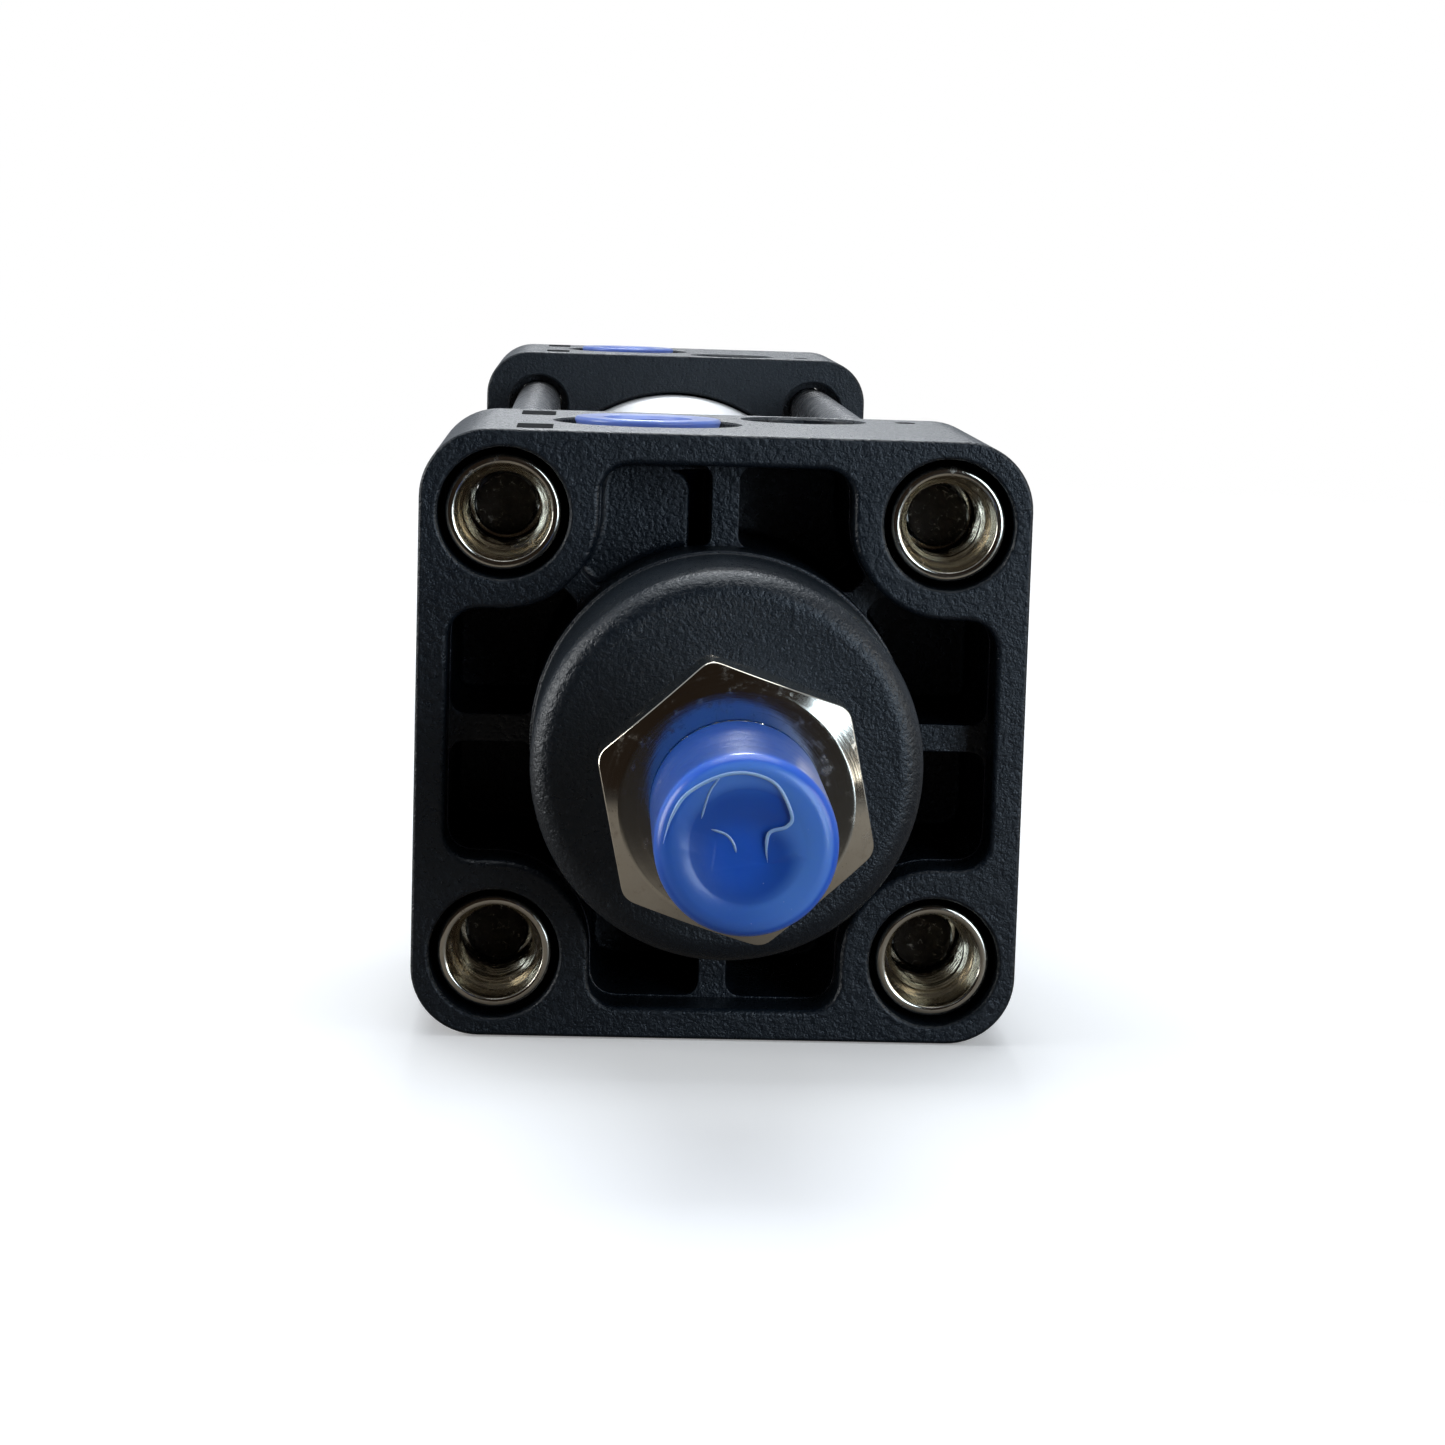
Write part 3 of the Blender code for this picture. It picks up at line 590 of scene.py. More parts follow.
def turned_alloy_material():
    """Machined aluminium with the fine rings that a lathe leaves."""
    s = Shader("piston_alloy", (0.68, 0.69, 0.70), 0.3, 1.0)
    radius, depth, angle = s.around(0.0, 0.0)
    rings = s.noise(5.0, 3.0, at=s.join(radius, depth, s.maths("MULTIPLY", angle, 0.12)))
    smear = s.noise(0.4, 4.0)
    s.set("Base Color", s.blend(smear, (0.58, 0.59, 0.60), (0.75, 0.76, 0.77)))
    s.set("Roughness", s.ramp(rings, 0.3, 0.7, 0.24, 0.40))
    s.set("Normal", s.bump(rings, 0.4, 0.03))
    return s.material


def magnet_material():
    """Bonded ferrite: dark grey with a speckle of bright grains."""
    s = Shader("magnet", (0.09, 0.085, 0.08), 0.55)
    grains = s.ramp(s.cells(7.0), 0.08, 0.2, 1.0, 0.0)
    cloud = s.noise(0.8, 4.0)
    tone = s.blend(cloud, (0.06, 0.057, 0.055), (0.12, 0.115, 0.11))
    s.set("Base Color", s.blend(s.maths("MULTIPLY", grains, 0.3), tone, (0.32, 0.31, 0.30)))
    s.set("Roughness", s.ramp(cloud, 0.3, 0.7, 0.48, 0.66))
    s.set("Normal", s.bump(cloud, 0.3, 0.04))
    return s.material


def wear_polymer_material():
    """Filled PTFE strip: tan, waxy, with dark filler specks and sliding marks."""
    s = Shader("wear_polymer", (0.50, 0.44, 0.33), 0.45)
    filler = s.ramp(s.cells(3.2), 0.10, 0.24, 1.0, 0.0)
    rub = s.noise(4.0, 3.0, at=s.stretched(1.0, 0.04, 1.0))
    tone = s.blend(rub, (0.42, 0.36, 0.26), (0.58, 0.52, 0.40))
    s.set("Base Color", s.blend(s.maths("MULTIPLY", filler, 0.5), tone, (0.16, 0.12, 0.08)))
    s.set("Roughness", s.ramp(rub, 0.3, 0.7, 0.36, 0.54))
    s.set("Normal", s.bump(rub, 0.25, 0.02))
    return s.material


def rod_end_material():
    """Cropped end of a tie rod: rough, dull and grey-brown with bright torn flecks."""
    s = Shader("tie_rod_end", (0.20, 0.17, 0.14), 0.55, 1.0)
    tear = s.noise(1.5, 6.0, 0.7, distortion=1.5)
    flecks = s.ramp(tear, 0.58, 0.70)
    s.set("Base Color", s.blend(flecks, (0.075, 0.060, 0.048), (0.46, 0.41, 0.36)))
    s.set("Roughness", s.ramp(tear, 0.3, 0.7, 0.62, 0.36))
    s.set("Normal", s.bump(tear, 0.9, 0.25))
    return s.material


def mark_material():
    """Flat black ink of the plain marks on the caps' tops."""
    s = Shader("mark_ink", (0.004, 0.005, 0.006), 0.85, Specular_IOR_Level=0.05)
    worn = s.noise(2.5, 5.0, 0.6)
    s.set("Base Color", s.blend(s.ramp(worn, 0.45, 0.8), (0.004, 0.005, 0.006), (0.014, 0.016, 0.018)))
    s.set("Normal", s.bump(worn, 0.3, 0.03))
    return s.material


PAINT = paint_material()
ANODISED = anodised_material()
ZINC = steel_material("tie_rod_zinc", (0.24, 0.24, 0.25), (0.16, 0.155, 0.15))
SCREW_ZINC = steel_material("screw_zinc", (0.56, 0.55, 0.52), (0.34, 0.32, 0.29), 0.35)
NICKEL = nickel_material("nickel", gloss=0.10, marks=0.006)
CHROME = chrome_material()
# the last pair of colours is the painted shade and the painted highlight for the cap's end
BLUE_CAP = soft_blue_material("blue_cap", (0.016, 0.115, 0.60), (0.026, 0.160, 0.74), 0.36, 0.10,
                              ((0.016, 0.075, 0.33), (0.125, 0.310, 0.80)))
# the folds' paler blue is partly stress whitening and partly a painted highlight along the crests
BLUE_CREASE_WHITENING_AND_SHEEN = soft_blue_material("blue_crease_whitening_and_sheen", (0.28, 0.46, 0.92), (0.42, 0.60, 0.97), 0.20, 0.40, None)
BLUE_PLUG = soft_blue_material("blue_plug", (0.12, 0.19, 0.56), (0.19, 0.28, 0.68), 0.34, 0.20, None)
RUBBER = rubber_material()
BRONZE = bronze_material()
ALLOY = turned_alloy_material()
MAGNET = magnet_material()
WEAR = wear_polymer_material()
ROD_END = rod_end_material()
MARK = mark_material()


# ---------------------------------------------------------------- caps

def cap_block():
    """The square block of a cap, its corners and end edges rounded."""
    inner = HALF - CAP_CORNER
    outline = quarter_turns(arc(inner, inner, CAP_CORNER, 90, 0, 16))
    ends = corner_arc(0, 0, CAP_EDGE, 0, 90, 5)
    near = [(CAP_EDGE - d, r - CAP_EDGE) for d, r in ends]
    far = [(CAP_LENGTH - d, growth) for d, growth in reversed(near)]
    return layered(outline, near + far)


def recess_outline():
    """Inside of the cap's frame, running round the block at each tie rod."""
    wall = HALF - FRAME_WALL
    side = TIE_OFFSET - CORNER_BLOCK
    bend = 2.2
    corner = arc(side - bend, wall - bend, bend, 90, 0, 8)
    corner += arc(TIE_OFFSET, TIE_OFFSET, CORNER_BLOCK, 180, 270, 24)
    corner += arc(wall - bend, side - bend, bend, 90, 0, 8)
    return quarter_turns(corner)


def pocket_outline():
    """One deep pocket, to the right of the top rib and left of the diagonal web."""
    wall = HALF - FRAME_WALL - POCKET_STEP
    side = TIE_OFFSET - CORNER_BLOCK - POCKET_STEP
    block = CORNER_BLOCK + POCKET_STEP
    web_turn = math.degrees(math.asin(WEB_HALF / block))
    web_end = 45 + math.degrees(math.asin(WEB_HALF / BOSS_ROOT))
    rib_end = 90 - math.degrees(math.asin(RIB_HALF / BOSS_ROOT))
    points = [(RIB_HALF, wall), (side, wall)]
    points += arc(TIE_OFFSET, TIE_OFFSET, block, 180, 225 - web_turn, 14)
    web_corner = len(points) - 1
    points += arc(0, 0, BOSS_ROOT, web_end, rib_end, 20)
    boss_corner, rib_corner = web_corner + 1, len(points) - 1
    return rounded(points, {0: 1.3, 1: 2.2, web_corner: 0.5, boss_corner: 0.8, rib_corner: 0.8})


def pocket_outlines():
    """The eight pockets: each quarter turn of the first one and of its mirror image."""
    first = pocket_outline()
    other = [(-x, z) for x, z in first]
    outlines = []
    for _ in range(4):
        outlines += [first, other]
        first = [(z, -x) for x, z in first]
        other = [(z, -x) for x, z in other]
    return outlines


def pocket_cutters():
    """The frame's recess, the eight pockets and the slot beside the port's block."""
    cutters = [layered(recess_outline(), mouth_layers(0, RIM_FILLET, RIB_SETBACK))]
    depths = [SCREW_POCKET_DEPTH, PORT_POCKET_DEPTH] + [POCKET_DEPTH] * 6
    edge = POCKET_STEP - 0.02
    for outline, depth in zip(pocket_outlines(), depths):
        cutters.append(layered(outline, mouth_layers(RIB_SETBACK, edge, depth, foot=0.6)))
    top = HALF - FRAME_WALL - POCKET_STEP - 0.65
    low, high, bend = -RIB_HALF - 1.55, -RIB_HALF - 0.12, 1.5
    slot = [(high, BOSS_RADIUS - 0.4), (high, top)]
    slot += arc(low - bend, top - bend, bend, 90, 0, 8) + [(low, BOSS_RADIUS - 0.4)]
    cutters.append(layered(slot, mouth_layers(PORT_POCKET_DEPTH, 0.35, 14.0)))
    return cutters


def tie_hole():
    """Counterbore for the round nut, the rod's clearance hole and its relief at the barrel."""
    edge = corner_arc(0.3, COUNTERBORE + 0.3, 0.3, 180, 270, 4)
    relief, sunk = 3.45, 4.0
    profile = [(-1, 0), (-1, COUNTERBORE + 0.3), *edge, (COUNTERBORE_DEPTH, COUNTERBORE)]
    profile += [(COUNTERBORE_DEPTH, TIE_HOLE), (CAP_LENGTH - sunk, TIE_HOLE), (CAP_LENGTH - sunk, relief)]
    profile += [(CAP_LENGTH - 0.2, relief), (CAP_LENGTH, relief + 0.2), (CAP_LENGTH + 1, relief + 0.2),
                (CAP_LENGTH + 1, 0)]
    return turned(profile, 72)


def top_holes():
    """Port, its passage to the chamber, and the stepped hole of the cushion screw."""
    floor, above = HALF - SPOTFACE_SINK, HALF + 1
    port = [(PORT_FLOOR, 0), (PORT_FLOOR, PORT_BORE), (floor - 0.5, PORT_BORE), (floor, PORT_BORE + 0.5),
            (floor, PORT_SPOTFACE), (HALF - 0.15, PORT_SPOTFACE), (HALF, PORT_SPOTFACE + 0.15),
            (above, PORT_SPOTFACE + 0.15), (above, 0)]
    passage = moved(turned([(PORT_DEPTH, 0), (PORT_DEPTH, 1.3), (CAP_LENGTH + 6, 1.3), (CAP_LENGTH + 6, 0)], 32),
                    PORT_X, 0, 12.6)
    ledge = HALF - CUSHION_RECESS_SINK
    screw = [(CUSHION_HOLE_FLOOR, 0), (CUSHION_HOLE_FLOOR, CUSHION_HOLE), (ledge, CUSHION_HOLE),
             (ledge, CUSHION_RECESS), (HALF - 0.2, CUSHION_RECESS), (HALF, CUSHION_RECESS + 0.2),
             (above, CUSHION_RECESS + 0.2), (above, 0)]
    return [
        moved(upright(turned(port, 96)), PORT_X, PORT_DEPTH, 0),
        passage,
        moved(upright(turned(screw, 72)), CUSHION_X, CUSHION_DEPTH, 0),
    ]


def cap_shape(boss, bore, extra=()):
    """A cast cap seen from its outer face at depth 0, with the barrel at its far side."""
    groove = CAP_LENGTH - BARREL_SEAT
    seat = turned([(groove, SPIGOT_RADIUS), (groove, BARREL_OUTER + GAP), (CAP_LENGTH - 0.25, BARREL_OUTER + GAP),
                   (CAP_LENGTH, BARREL_OUTER + GAP + 0.25), (CAP_LENGTH + 1, BARREL_OUTER + GAP + 0.25),
                   (CAP_LENGTH + 1, SPIGOT_RADIUS)], 128)
    end = CAP_LENGTH + SPIGOT_LENGTH
    spigot = turned([(groove - 1, 0), (groove - 1, SPIGOT_RADIUS), (end - 0.5, SPIGOT_RADIUS),
                     (end, SPIGOT_RADIUS - 0.5), (end, 0)], 128)
    holes = [moved(tie_hole(), x, 0, z) for x, z in CORNERS.values()]
    steps = cut(*pocket_cutters(), seat) + [("UNION", spigot), ("UNION", turned(boss, 128))]
    return combine(cap_block(), steps + cut(*holes, *top_holes(), turned(bore, 96), *extra))


def make_front_cap():
    fillet = arc(BOSS_FILLET - BOSS_LENGTH, BOSS_RADIUS - BOSS_FILLET, BOSS_FILLET, 180, 90, 10)
    step = corner_arc(0.1, BOSS_ROOT - 0.15, 0.15, 180, 90, 4)
    boss = [(-BOSS_LENGTH, 0), *fillet, (-0.15, BOSS_RADIUS), *step, (RIB_SETBACK + 1.5, BOSS_ROOT - 0.02),
            (RIB_SETBACK + 1.5, 0)]
    mouth, groove, seat, bush, end = 6.6, 8.7, 7.8, 6.6, CAP_LENGTH + SPIGOT_LENGTH + 1
    edge = corner_arc(0.2 - BOSS_LENGTH, mouth + 0.2, 0.2, 180, 270, 4)
    bore = [(-BOSS_LENGTH - 1, 0), (-BOSS_LENGTH - 1, mouth + 0.2), *edge, (1.2 - BOSS_LENGTH, mouth),
            (1.2 - BOSS_LENGTH, groove), (-5.0, groove), (-5.0, seat), (11.5, seat), (11.5, bush),
            (13.0, bush), (13.0, CHAMBER), (end, CHAMBER), (end, 0)]
    settle("front_cap_casting", cap_shape(boss, bore), PAINT, BODY, ["front_cap"])


def make_rear_cap():
    boss = [(GAP, 0), (GAP, BOSS_ROOT - 0.4), (GAP + 0.4, BOSS_ROOT), (RIB_SETBACK + 1.5, BOSS_ROOT - 0.02),
            (RIB_SETBACK + 1.5, 0)]
    end = CAP_LENGTH + SPIGOT_LENGTH + 1
    bore = [(11.0, 0), (11.0, CHAMBER), (end, CHAMBER), (end, 0)]
    dish = turned([(-1, 0), (-1, 8.3), (GAP, 8.3), (GAP + 0.3, 8.0), (1.2, 8.0), (1.5, 7.7), (1.5, 0)], 96)
    shape = mirrored(cap_shape(boss, bore, [dish]))
    settle("rear_cap_casting", shape, PAINT, BODY, ["rear_cap"])


def make_marks():
    """The two plain bars and the dot on each cap's top, as thin black inlays."""
    bar_x, bar_half, bar_long, sunk, proud = -14.35, 1.35, 6.0, 0.3, 0.03
    for side, flip in (("front", False), ("rear", True)):
        shapes = []
        for centre in (PORT_DEPTH - 9.9, PORT_DEPTH + 9.9):
            flat = [(bar_x - bar_half, -bar_long / 2), (bar_x + bar_half, -bar_long / 2),
                    (bar_x + bar_half, bar_long / 2), (bar_x - bar_half, bar_long / 2)]
            outline = rounded(flat, {0: 0.3, 1: 0.3, 2: 0.3, 3: 0.3}, 4)
            slab = layered(outline, [(HALF - sunk, 0), (HALF + proud, 0)])
            for vert in slab.verts:
                vert.co = Vector((vert.co.x, vert.co.z + centre, vert.co.y))
            shapes.append(slab)
        dot = turned([(HALF - sunk, 0), (HALF - sunk, 0.8), (HALF + proud, 0.8), (HALF + proud, 0)], 32)
        shapes.append(moved(upright(dot), 15.1, 25.7, 0))
        for number, shape in enumerate(shapes):
            name = f"mark_{side}_{('near', 'far', 'dot')[number]}"
            settle(name, mirrored(shape) if flip else shape, MARK, BODY)


# ---------------------------------------------------------------- barrel, tie rods and nuts

def make_barrel():
    low, high = box_mm("barrel_tube")
    start, end = depth_of(low.y), depth_of(high.y)
    outer, inner, edge = BARREL_OUTER, BARREL_OUTER - 2.0, 0.3
    profile = [(start, inner), (start, outer - edge), (start + edge, outer)]
    profile += [(start + (end - start) * i / 12, outer) for i in range(1, 12)]
    profile += [(end - edge, outer), (end, outer - edge), (end, inner)]
    settle("barrel", turned(profile, 192), ANODISED, BODY, ["barrel_tube"])


def make_tie_rods():
    """Rods with rolled threads, each with a rough cropped end face at either end."""
    low, high = box_mm("tie_rod_top_right")
    start, end = depth_of(low.y), depth_of(high.y)
    root, thread_end, pitch = 2.45, 27.0, 1.0
    near = [(start, 0), (start + 0.05, root - 0.6), (start + 0.5, root)]
    near += thread(start + 0.6, thread_end - 1, root, 0.28, pitch, 6) + [(thread_end, TIE_RADIUS)]
    along = [(thread_end + (end - start) * 0.1 * i, TIE_RADIUS) for i in range(1, 8)]
    far = [(BODY_LENGTH - d, r, *more) for d, r, *more in reversed(near)]
    for corner, (x, z) in CORNERS.items():
        shape = moved(turned(near + along + far, 40, pitch), x, 0, z)
        node = f"tie_rod_{corner}"
        settle(f"{node}_threaded", shape, ZINC, BODY, [node])
        for side, flip in (("front", False), ("rear", True)):
            face = start - 0.12
            ridges = [(start + 0.3, 0), (start + 0.3, 2.25), (face + 0.25, 2.25), (face + 0.1, 2.05)]
            ridges += [(face + 0.08 * math.sin(3.1 * r), r) for r in (1.7, 1.3, 0.9, 0.5, 0.2)] + [(face, 0)]
            shape = moved(turned(ridges, 48), x, 0, z)
            settle(f"tie_rod_end_{side}_{corner}", mirrored(shape) if flip else shape, ROD_END, BODY)


def make_tie_nuts():
    """Round nuts sunk in the caps: rounded rim, plain mouth, a step and the thread."""
    low, high = box_mm("tie_nut_front_top_right")
    front, back = depth_of(low.y), depth_of(high.y)
    outer, mouth, bore, pitch = (high.x - low.x) / 2, 3.55, 2.8, 1.0
    step = front + 3.4
    rim = corner_arc(front + 0.35, outer - 0.35, 0.35, 90, 180, 5)
    lip = corner_arc(front + 0.25, mouth + 0.25, 0.25, 180, 270, 4)
    shoulder = [(step - 0.15, mouth), (step, mouth - 0.15), (step + 0.25, bore + 0.3), (step + 0.6, bore + 0.05)]
    throat, throat_length = 2.5, 2.0
    profile = [(back, throat), (back, outer - 0.2), (back - 0.2, outer), *rim, *lip, *shoulder]
    profile += thread(step + 0.7, back - 3.5, bore, -0.3, pitch, 8)
    profile += [(back - throat_length, bore), (back - throat_length, throat)]
    for corner, (x, z) in CORNERS.items():
        plating = nickel_material(f"nickel_{corner}", x, z)
        for side, flip in (("front", False), ("rear", True)):
            shape = moved(turned(profile, 96, pitch), x, 0, z)
            node = f"tie_nut_{side}_{corner}"
            settle(f"{node}_turned", mirrored(shape) if flip else shape, plating, BODY, [node])


# ---------------------------------------------------------------- screws and plugs in the caps' tops

def make_cushion_screws():
    """Slotted adjusting screws with a rounded head, and the O-ring round each."""
    for side in ("front", "rear"):
        low, high = box_mm(f"cushion_screw_{side}")
        x, depth = (low.x + high.x) / 2, depth_of((low.y + high.y) / 2)
        foot, top, head, shank = low.z - AXIS_Z, high.z - AXIS_Z, 3.0, 1.9
        seat = HALF - CUSHION_RECESS_SINK + GAP
        profile = [(foot, 0), (foot, 0.6), (foot + 1.6, 0.95), (foot + 1.6, shank - 0.3)]
        profile += thread(foot + 1.8, seat - 0.4, shank, 0.25, 0.8, 6)
        profile += [(seat, shank), (seat, head - 0.15), (seat + 0.15, head)]
        profile += corner_arc(top - 0.35, head - 0.35, 0.35, 90, 0, 5) + [(top, 0)]
        slot = bmesh.new()
        bmesh.ops.create_cube(slot, size=1.0)
        bmesh.ops.scale(slot, vec=(2 * head + 1, 0.8, 1.6), verts=slot.verts)
        bmesh.ops.translate(slot, verts=slot.verts, vec=(0, 0, top))
        screw = combine(upright(turned(profile, 64, 0.8)), cut(slot))
        body = f"cushion_screw_{side}"
        settle(f"{body}_slotted", moved(screw, x, depth, 0), SCREW_ZINC, body, [body])
        low, high = box_mm(f"cushion_oring_{side}")
        thick, middle = (high.z - low.z) / 2, (low.z + high.z) / 2 - AXIS_Z
        inner, outer = head + GAP, (high.x - low.x) / 2
        bead = [(middle + thick * math.sin(a), (inner + outer) / 2 + (outer - inner) / 2 * math.cos(a))
                for a in (2 * math.pi * k / 20 for k in range(20))]
        ring = moved(upright(turned(bead, 72)), x, depth, 0)
        settle(f"cushion_oring_{side}_moulded", ring, RUBBER, body, [f"cushion_oring_{side}"])


def make_port_plugs():
    """Soft transit plugs: a thin turned-down flange, a ribbed stem and a dished well."""
    for side in ("front", "rear"):
        node = f"port_plug_{side}"
        low, high = box_mm(node)
        x, depth = (low.x + high.x) / 2, depth_of((low.y + high.y) / 2)
        foot, top, flange = low.z - AXIS_Z, high.z - AXIS_Z, (high.x - low.x) / 2
        under, stem, well, well_floor = HALF - SPOTFACE_SINK + GAP, 4.15, 3.0, HALF - 1.2
        profile = [(foot, 0), (foot, stem - 0.8), (foot + 0.6, stem - 0.35), (foot + 1.2, stem - 0.2)]
        for i in range(3):
            rib = foot + 1.8 + 1.7 * i
            profile += [(rib, stem - 0.2), (rib + 0.35, stem), (rib + 0.7, stem), (rib + 1.0, stem - 0.2)]
        profile += [(under - 0.2, stem - 0.2), (under, stem + 0.1), (under, flange - 0.15)]
        profile += corner_arc(top - 0.28, flange - 0.28, 0.28, 90, 0, 5)
        profile += [(top - 0.04, flange - 1.0), (top - 0.16, flange - 1.6), (top - 0.06, well + 0.45),
                    (top - 0.3, well + 0.12), (well_floor + 0.3, well - 0.1), (well_floor, well - 0.5),
                    (well_floor + 0.12, 1.2), (well_floor + 0.2, 0)]
        plug = moved(upright(turned(profile, 96)), x, depth, 0)
        settle(f"{node}_moulded", plug, BLUE_PLUG, node, [node])


# ---------------------------------------------------------------- rod, its nut and the soft cap

def make_rod():
    """Piston rod with its rolled front thread, spanner flats and the thread for the piston nut."""
    low, high = box_mm("piston_rod")
    nut_low, nut_high = box_mm("piston_nut")
    front, tail = depth_of(low.y), depth_of(high.y)
    radius, screw, shoulder, pitch, tail_radius = (high.x - low.x) / 2, 4.95, -25.0, 1.25, 5.0
    seat = depth_of(box_mm("piston_front_half")[0].y) - GAP
    nut_start = depth_of(nut_low.y) - 2.0
    profile = [(front, 0), (front, screw - 1.0), (front + 0.7, screw - 0.2)]
    profile += thread(front + 0.8, shoulder - 1.2, screw, 0.62, pitch, 9)
    profile += [(shoulder - 0.1, screw), (shoulder, screw + 0.1), (shoulder, radius - 0.5)]
    profile += [(shoulder + 0.15, radius - 0.2), (shoulder + 0.5, radius)]
    profile += [(shoulder + (seat - shoulder) * i / 10, radius) for i in range(1, 11)]
    profile += [(seat, tail_radius), (nut_start, tail_radius)]
    profile += thread(nut_start + 0.2, tail - 0.8, tail_radius, 0.55, pitch, 6)
    profile += [(tail, tail_radius - 0.7), (tail, 0)]
    flats, length = 10.0, 7.0
    blocks = []
    for side in (-1, 1):
        block = bmesh.new()
        bmesh.ops.create_cube(block, size=1.0)
        bmesh.ops.scale(block, vec=(4, length, 20), verts=block.verts)
        blocks.append(moved(block, side * (flats / 2 + 2), shoulder + 1.5 + length / 2, 0))
    rod = combine(turned(profile, 80, pitch), cut(*blocks))
    settle("piston_rod_ground", rod, CHROME, "rod", ["piston_rod"])


def make_hex_nut(name, node, body, bore, pitch, turn, material):
    """Hexagon nut: corners turned to a cone on both faces, washer faces and a real thread."""
    low, high = box_mm(node)
    front, back = depth_of(low.y), depth_of(high.y)
    flats = {"rod_nut": 17.0, "piston_nut": 15.0}[node]
    corner = flats / math.sqrt(3)
    hexagon = [(corner * math.sin(turn + math.pi / 3 * k), corner * math.cos(turn + math.pi / 3 * k))
               for k in range(6)]
    soft = rounded(hexagon, dict.fromkeys(range(6), 0.8), 6)
    face, rim = flats * 0.462, corner - 0.2
    drop = (rim - face) * math.tan(math.radians(27))
    cone = [(front, 0), (front, face - 0.25), (front + 0.05, face), (front + drop, rim), (back - drop, rim),
            (back - 0.05, face), (back, face - 0.25), (back, 0)]
    thread_rows = thread(front + 0.5, back - 0.5, bore, -0.5, pitch, 9)
    hole = [(front - 1, 0), (front - 1, bore + 1.5), (front + 0.45, bore + 0.05), *thread_rows,
            (back - 0.45, bore + 0.05), (back + 1, bore + 1.5), (back + 1, 0)]
    steps = [("INTERSECT", turned(cone, 144)), ("DIFFERENCE", turned(hole, 72, pitch))]
    shape = combine(layered(soft, [(front, 0), (back, 0)]), steps)
    nut = settle(name, shape, material, body, [node], sharp=14.0)
    soften(nut, 0.30, 20.0)


def smooth_path(points, steps=10):
    """Catmull-Rom curve through a few chosen points."""
    path = []
    ends = [points[0], *points, points[-1]]
    for p0, p1, p2, p3 in zip(ends, ends[1:], ends[2:], ends[3:]):
        p0, p1, p2, p3 = (Vector(p) for p in (p0, p1, p2, p3))
        for i in range(steps):
            t = i / steps
            path.append(0.5 * ((2 * p1) + (p2 - p0) * t + (2 * p0 - 5 * p1 + 4 * p2 - p3) * t * t
                               + (3 * p1 - p0 - 3 * p2 + p3) * t ** 3))
    path.append(Vector(points[-1]))
    return path


def distance_to(path, point):
    """Distance from a point to a path, the share of the path there, and the point's side of it."""
    best, where, side = 1e9, 0.0, 1.0
    for i, (a, b) in enumerate(zip(path, path[1:])):
        span = b - a
        t = max(0.0, min(1.0, (point - a).dot(span) / max(span.length_squared, 1e-12)))
        gap = (a + span * t - point).length
        if gap < best:
            best, where = gap, (i + t) / (len(path) - 1)
            side = span.x * (point.y - a.y) - span.y * (point.x - a.x)
    return best, where, side


def crease(path, thick, place, name):
    """A fold's crest: a thin bead of the skin along a path, tapered at both ends. Its paler material is partly
    stress whitening and partly a painted highlight.
    """
    sides, bm, rows = 8, bmesh.new(), []
    for i, point in enumerate(path):
        ahead = (path[min(i + 1, len(path) - 1)] - path[max(i - 1, 0)]).normalized()
        share = i / (len(path) - 1)
        r = thick * max(0.15, min(1.0, 7 * share, 7 * (1 - share)))
        centre, across = place(point), Vector((-ahead.y, 0, ahead.x))
        rows.append([bm.verts.new(centre + across * r * math.cos(a) + Vector((0, r * math.sin(a), 0)))
                     for a in (2 * math.pi * k / sides for k in range(sides))])
    bm.faces.new(rows[0])
    bm.faces.new(rows[-1])
    for a, b in zip(rows, rows[1:]):
        for k in range(sides):
            bm.faces.new((a[k], a[(k + 1) % sides], b[(k + 1) % sides], b[k]))
    settle(name, bm, BLUE_CREASE_WHITENING_AND_SHEEN, "thread_cap", sharp=70.0)


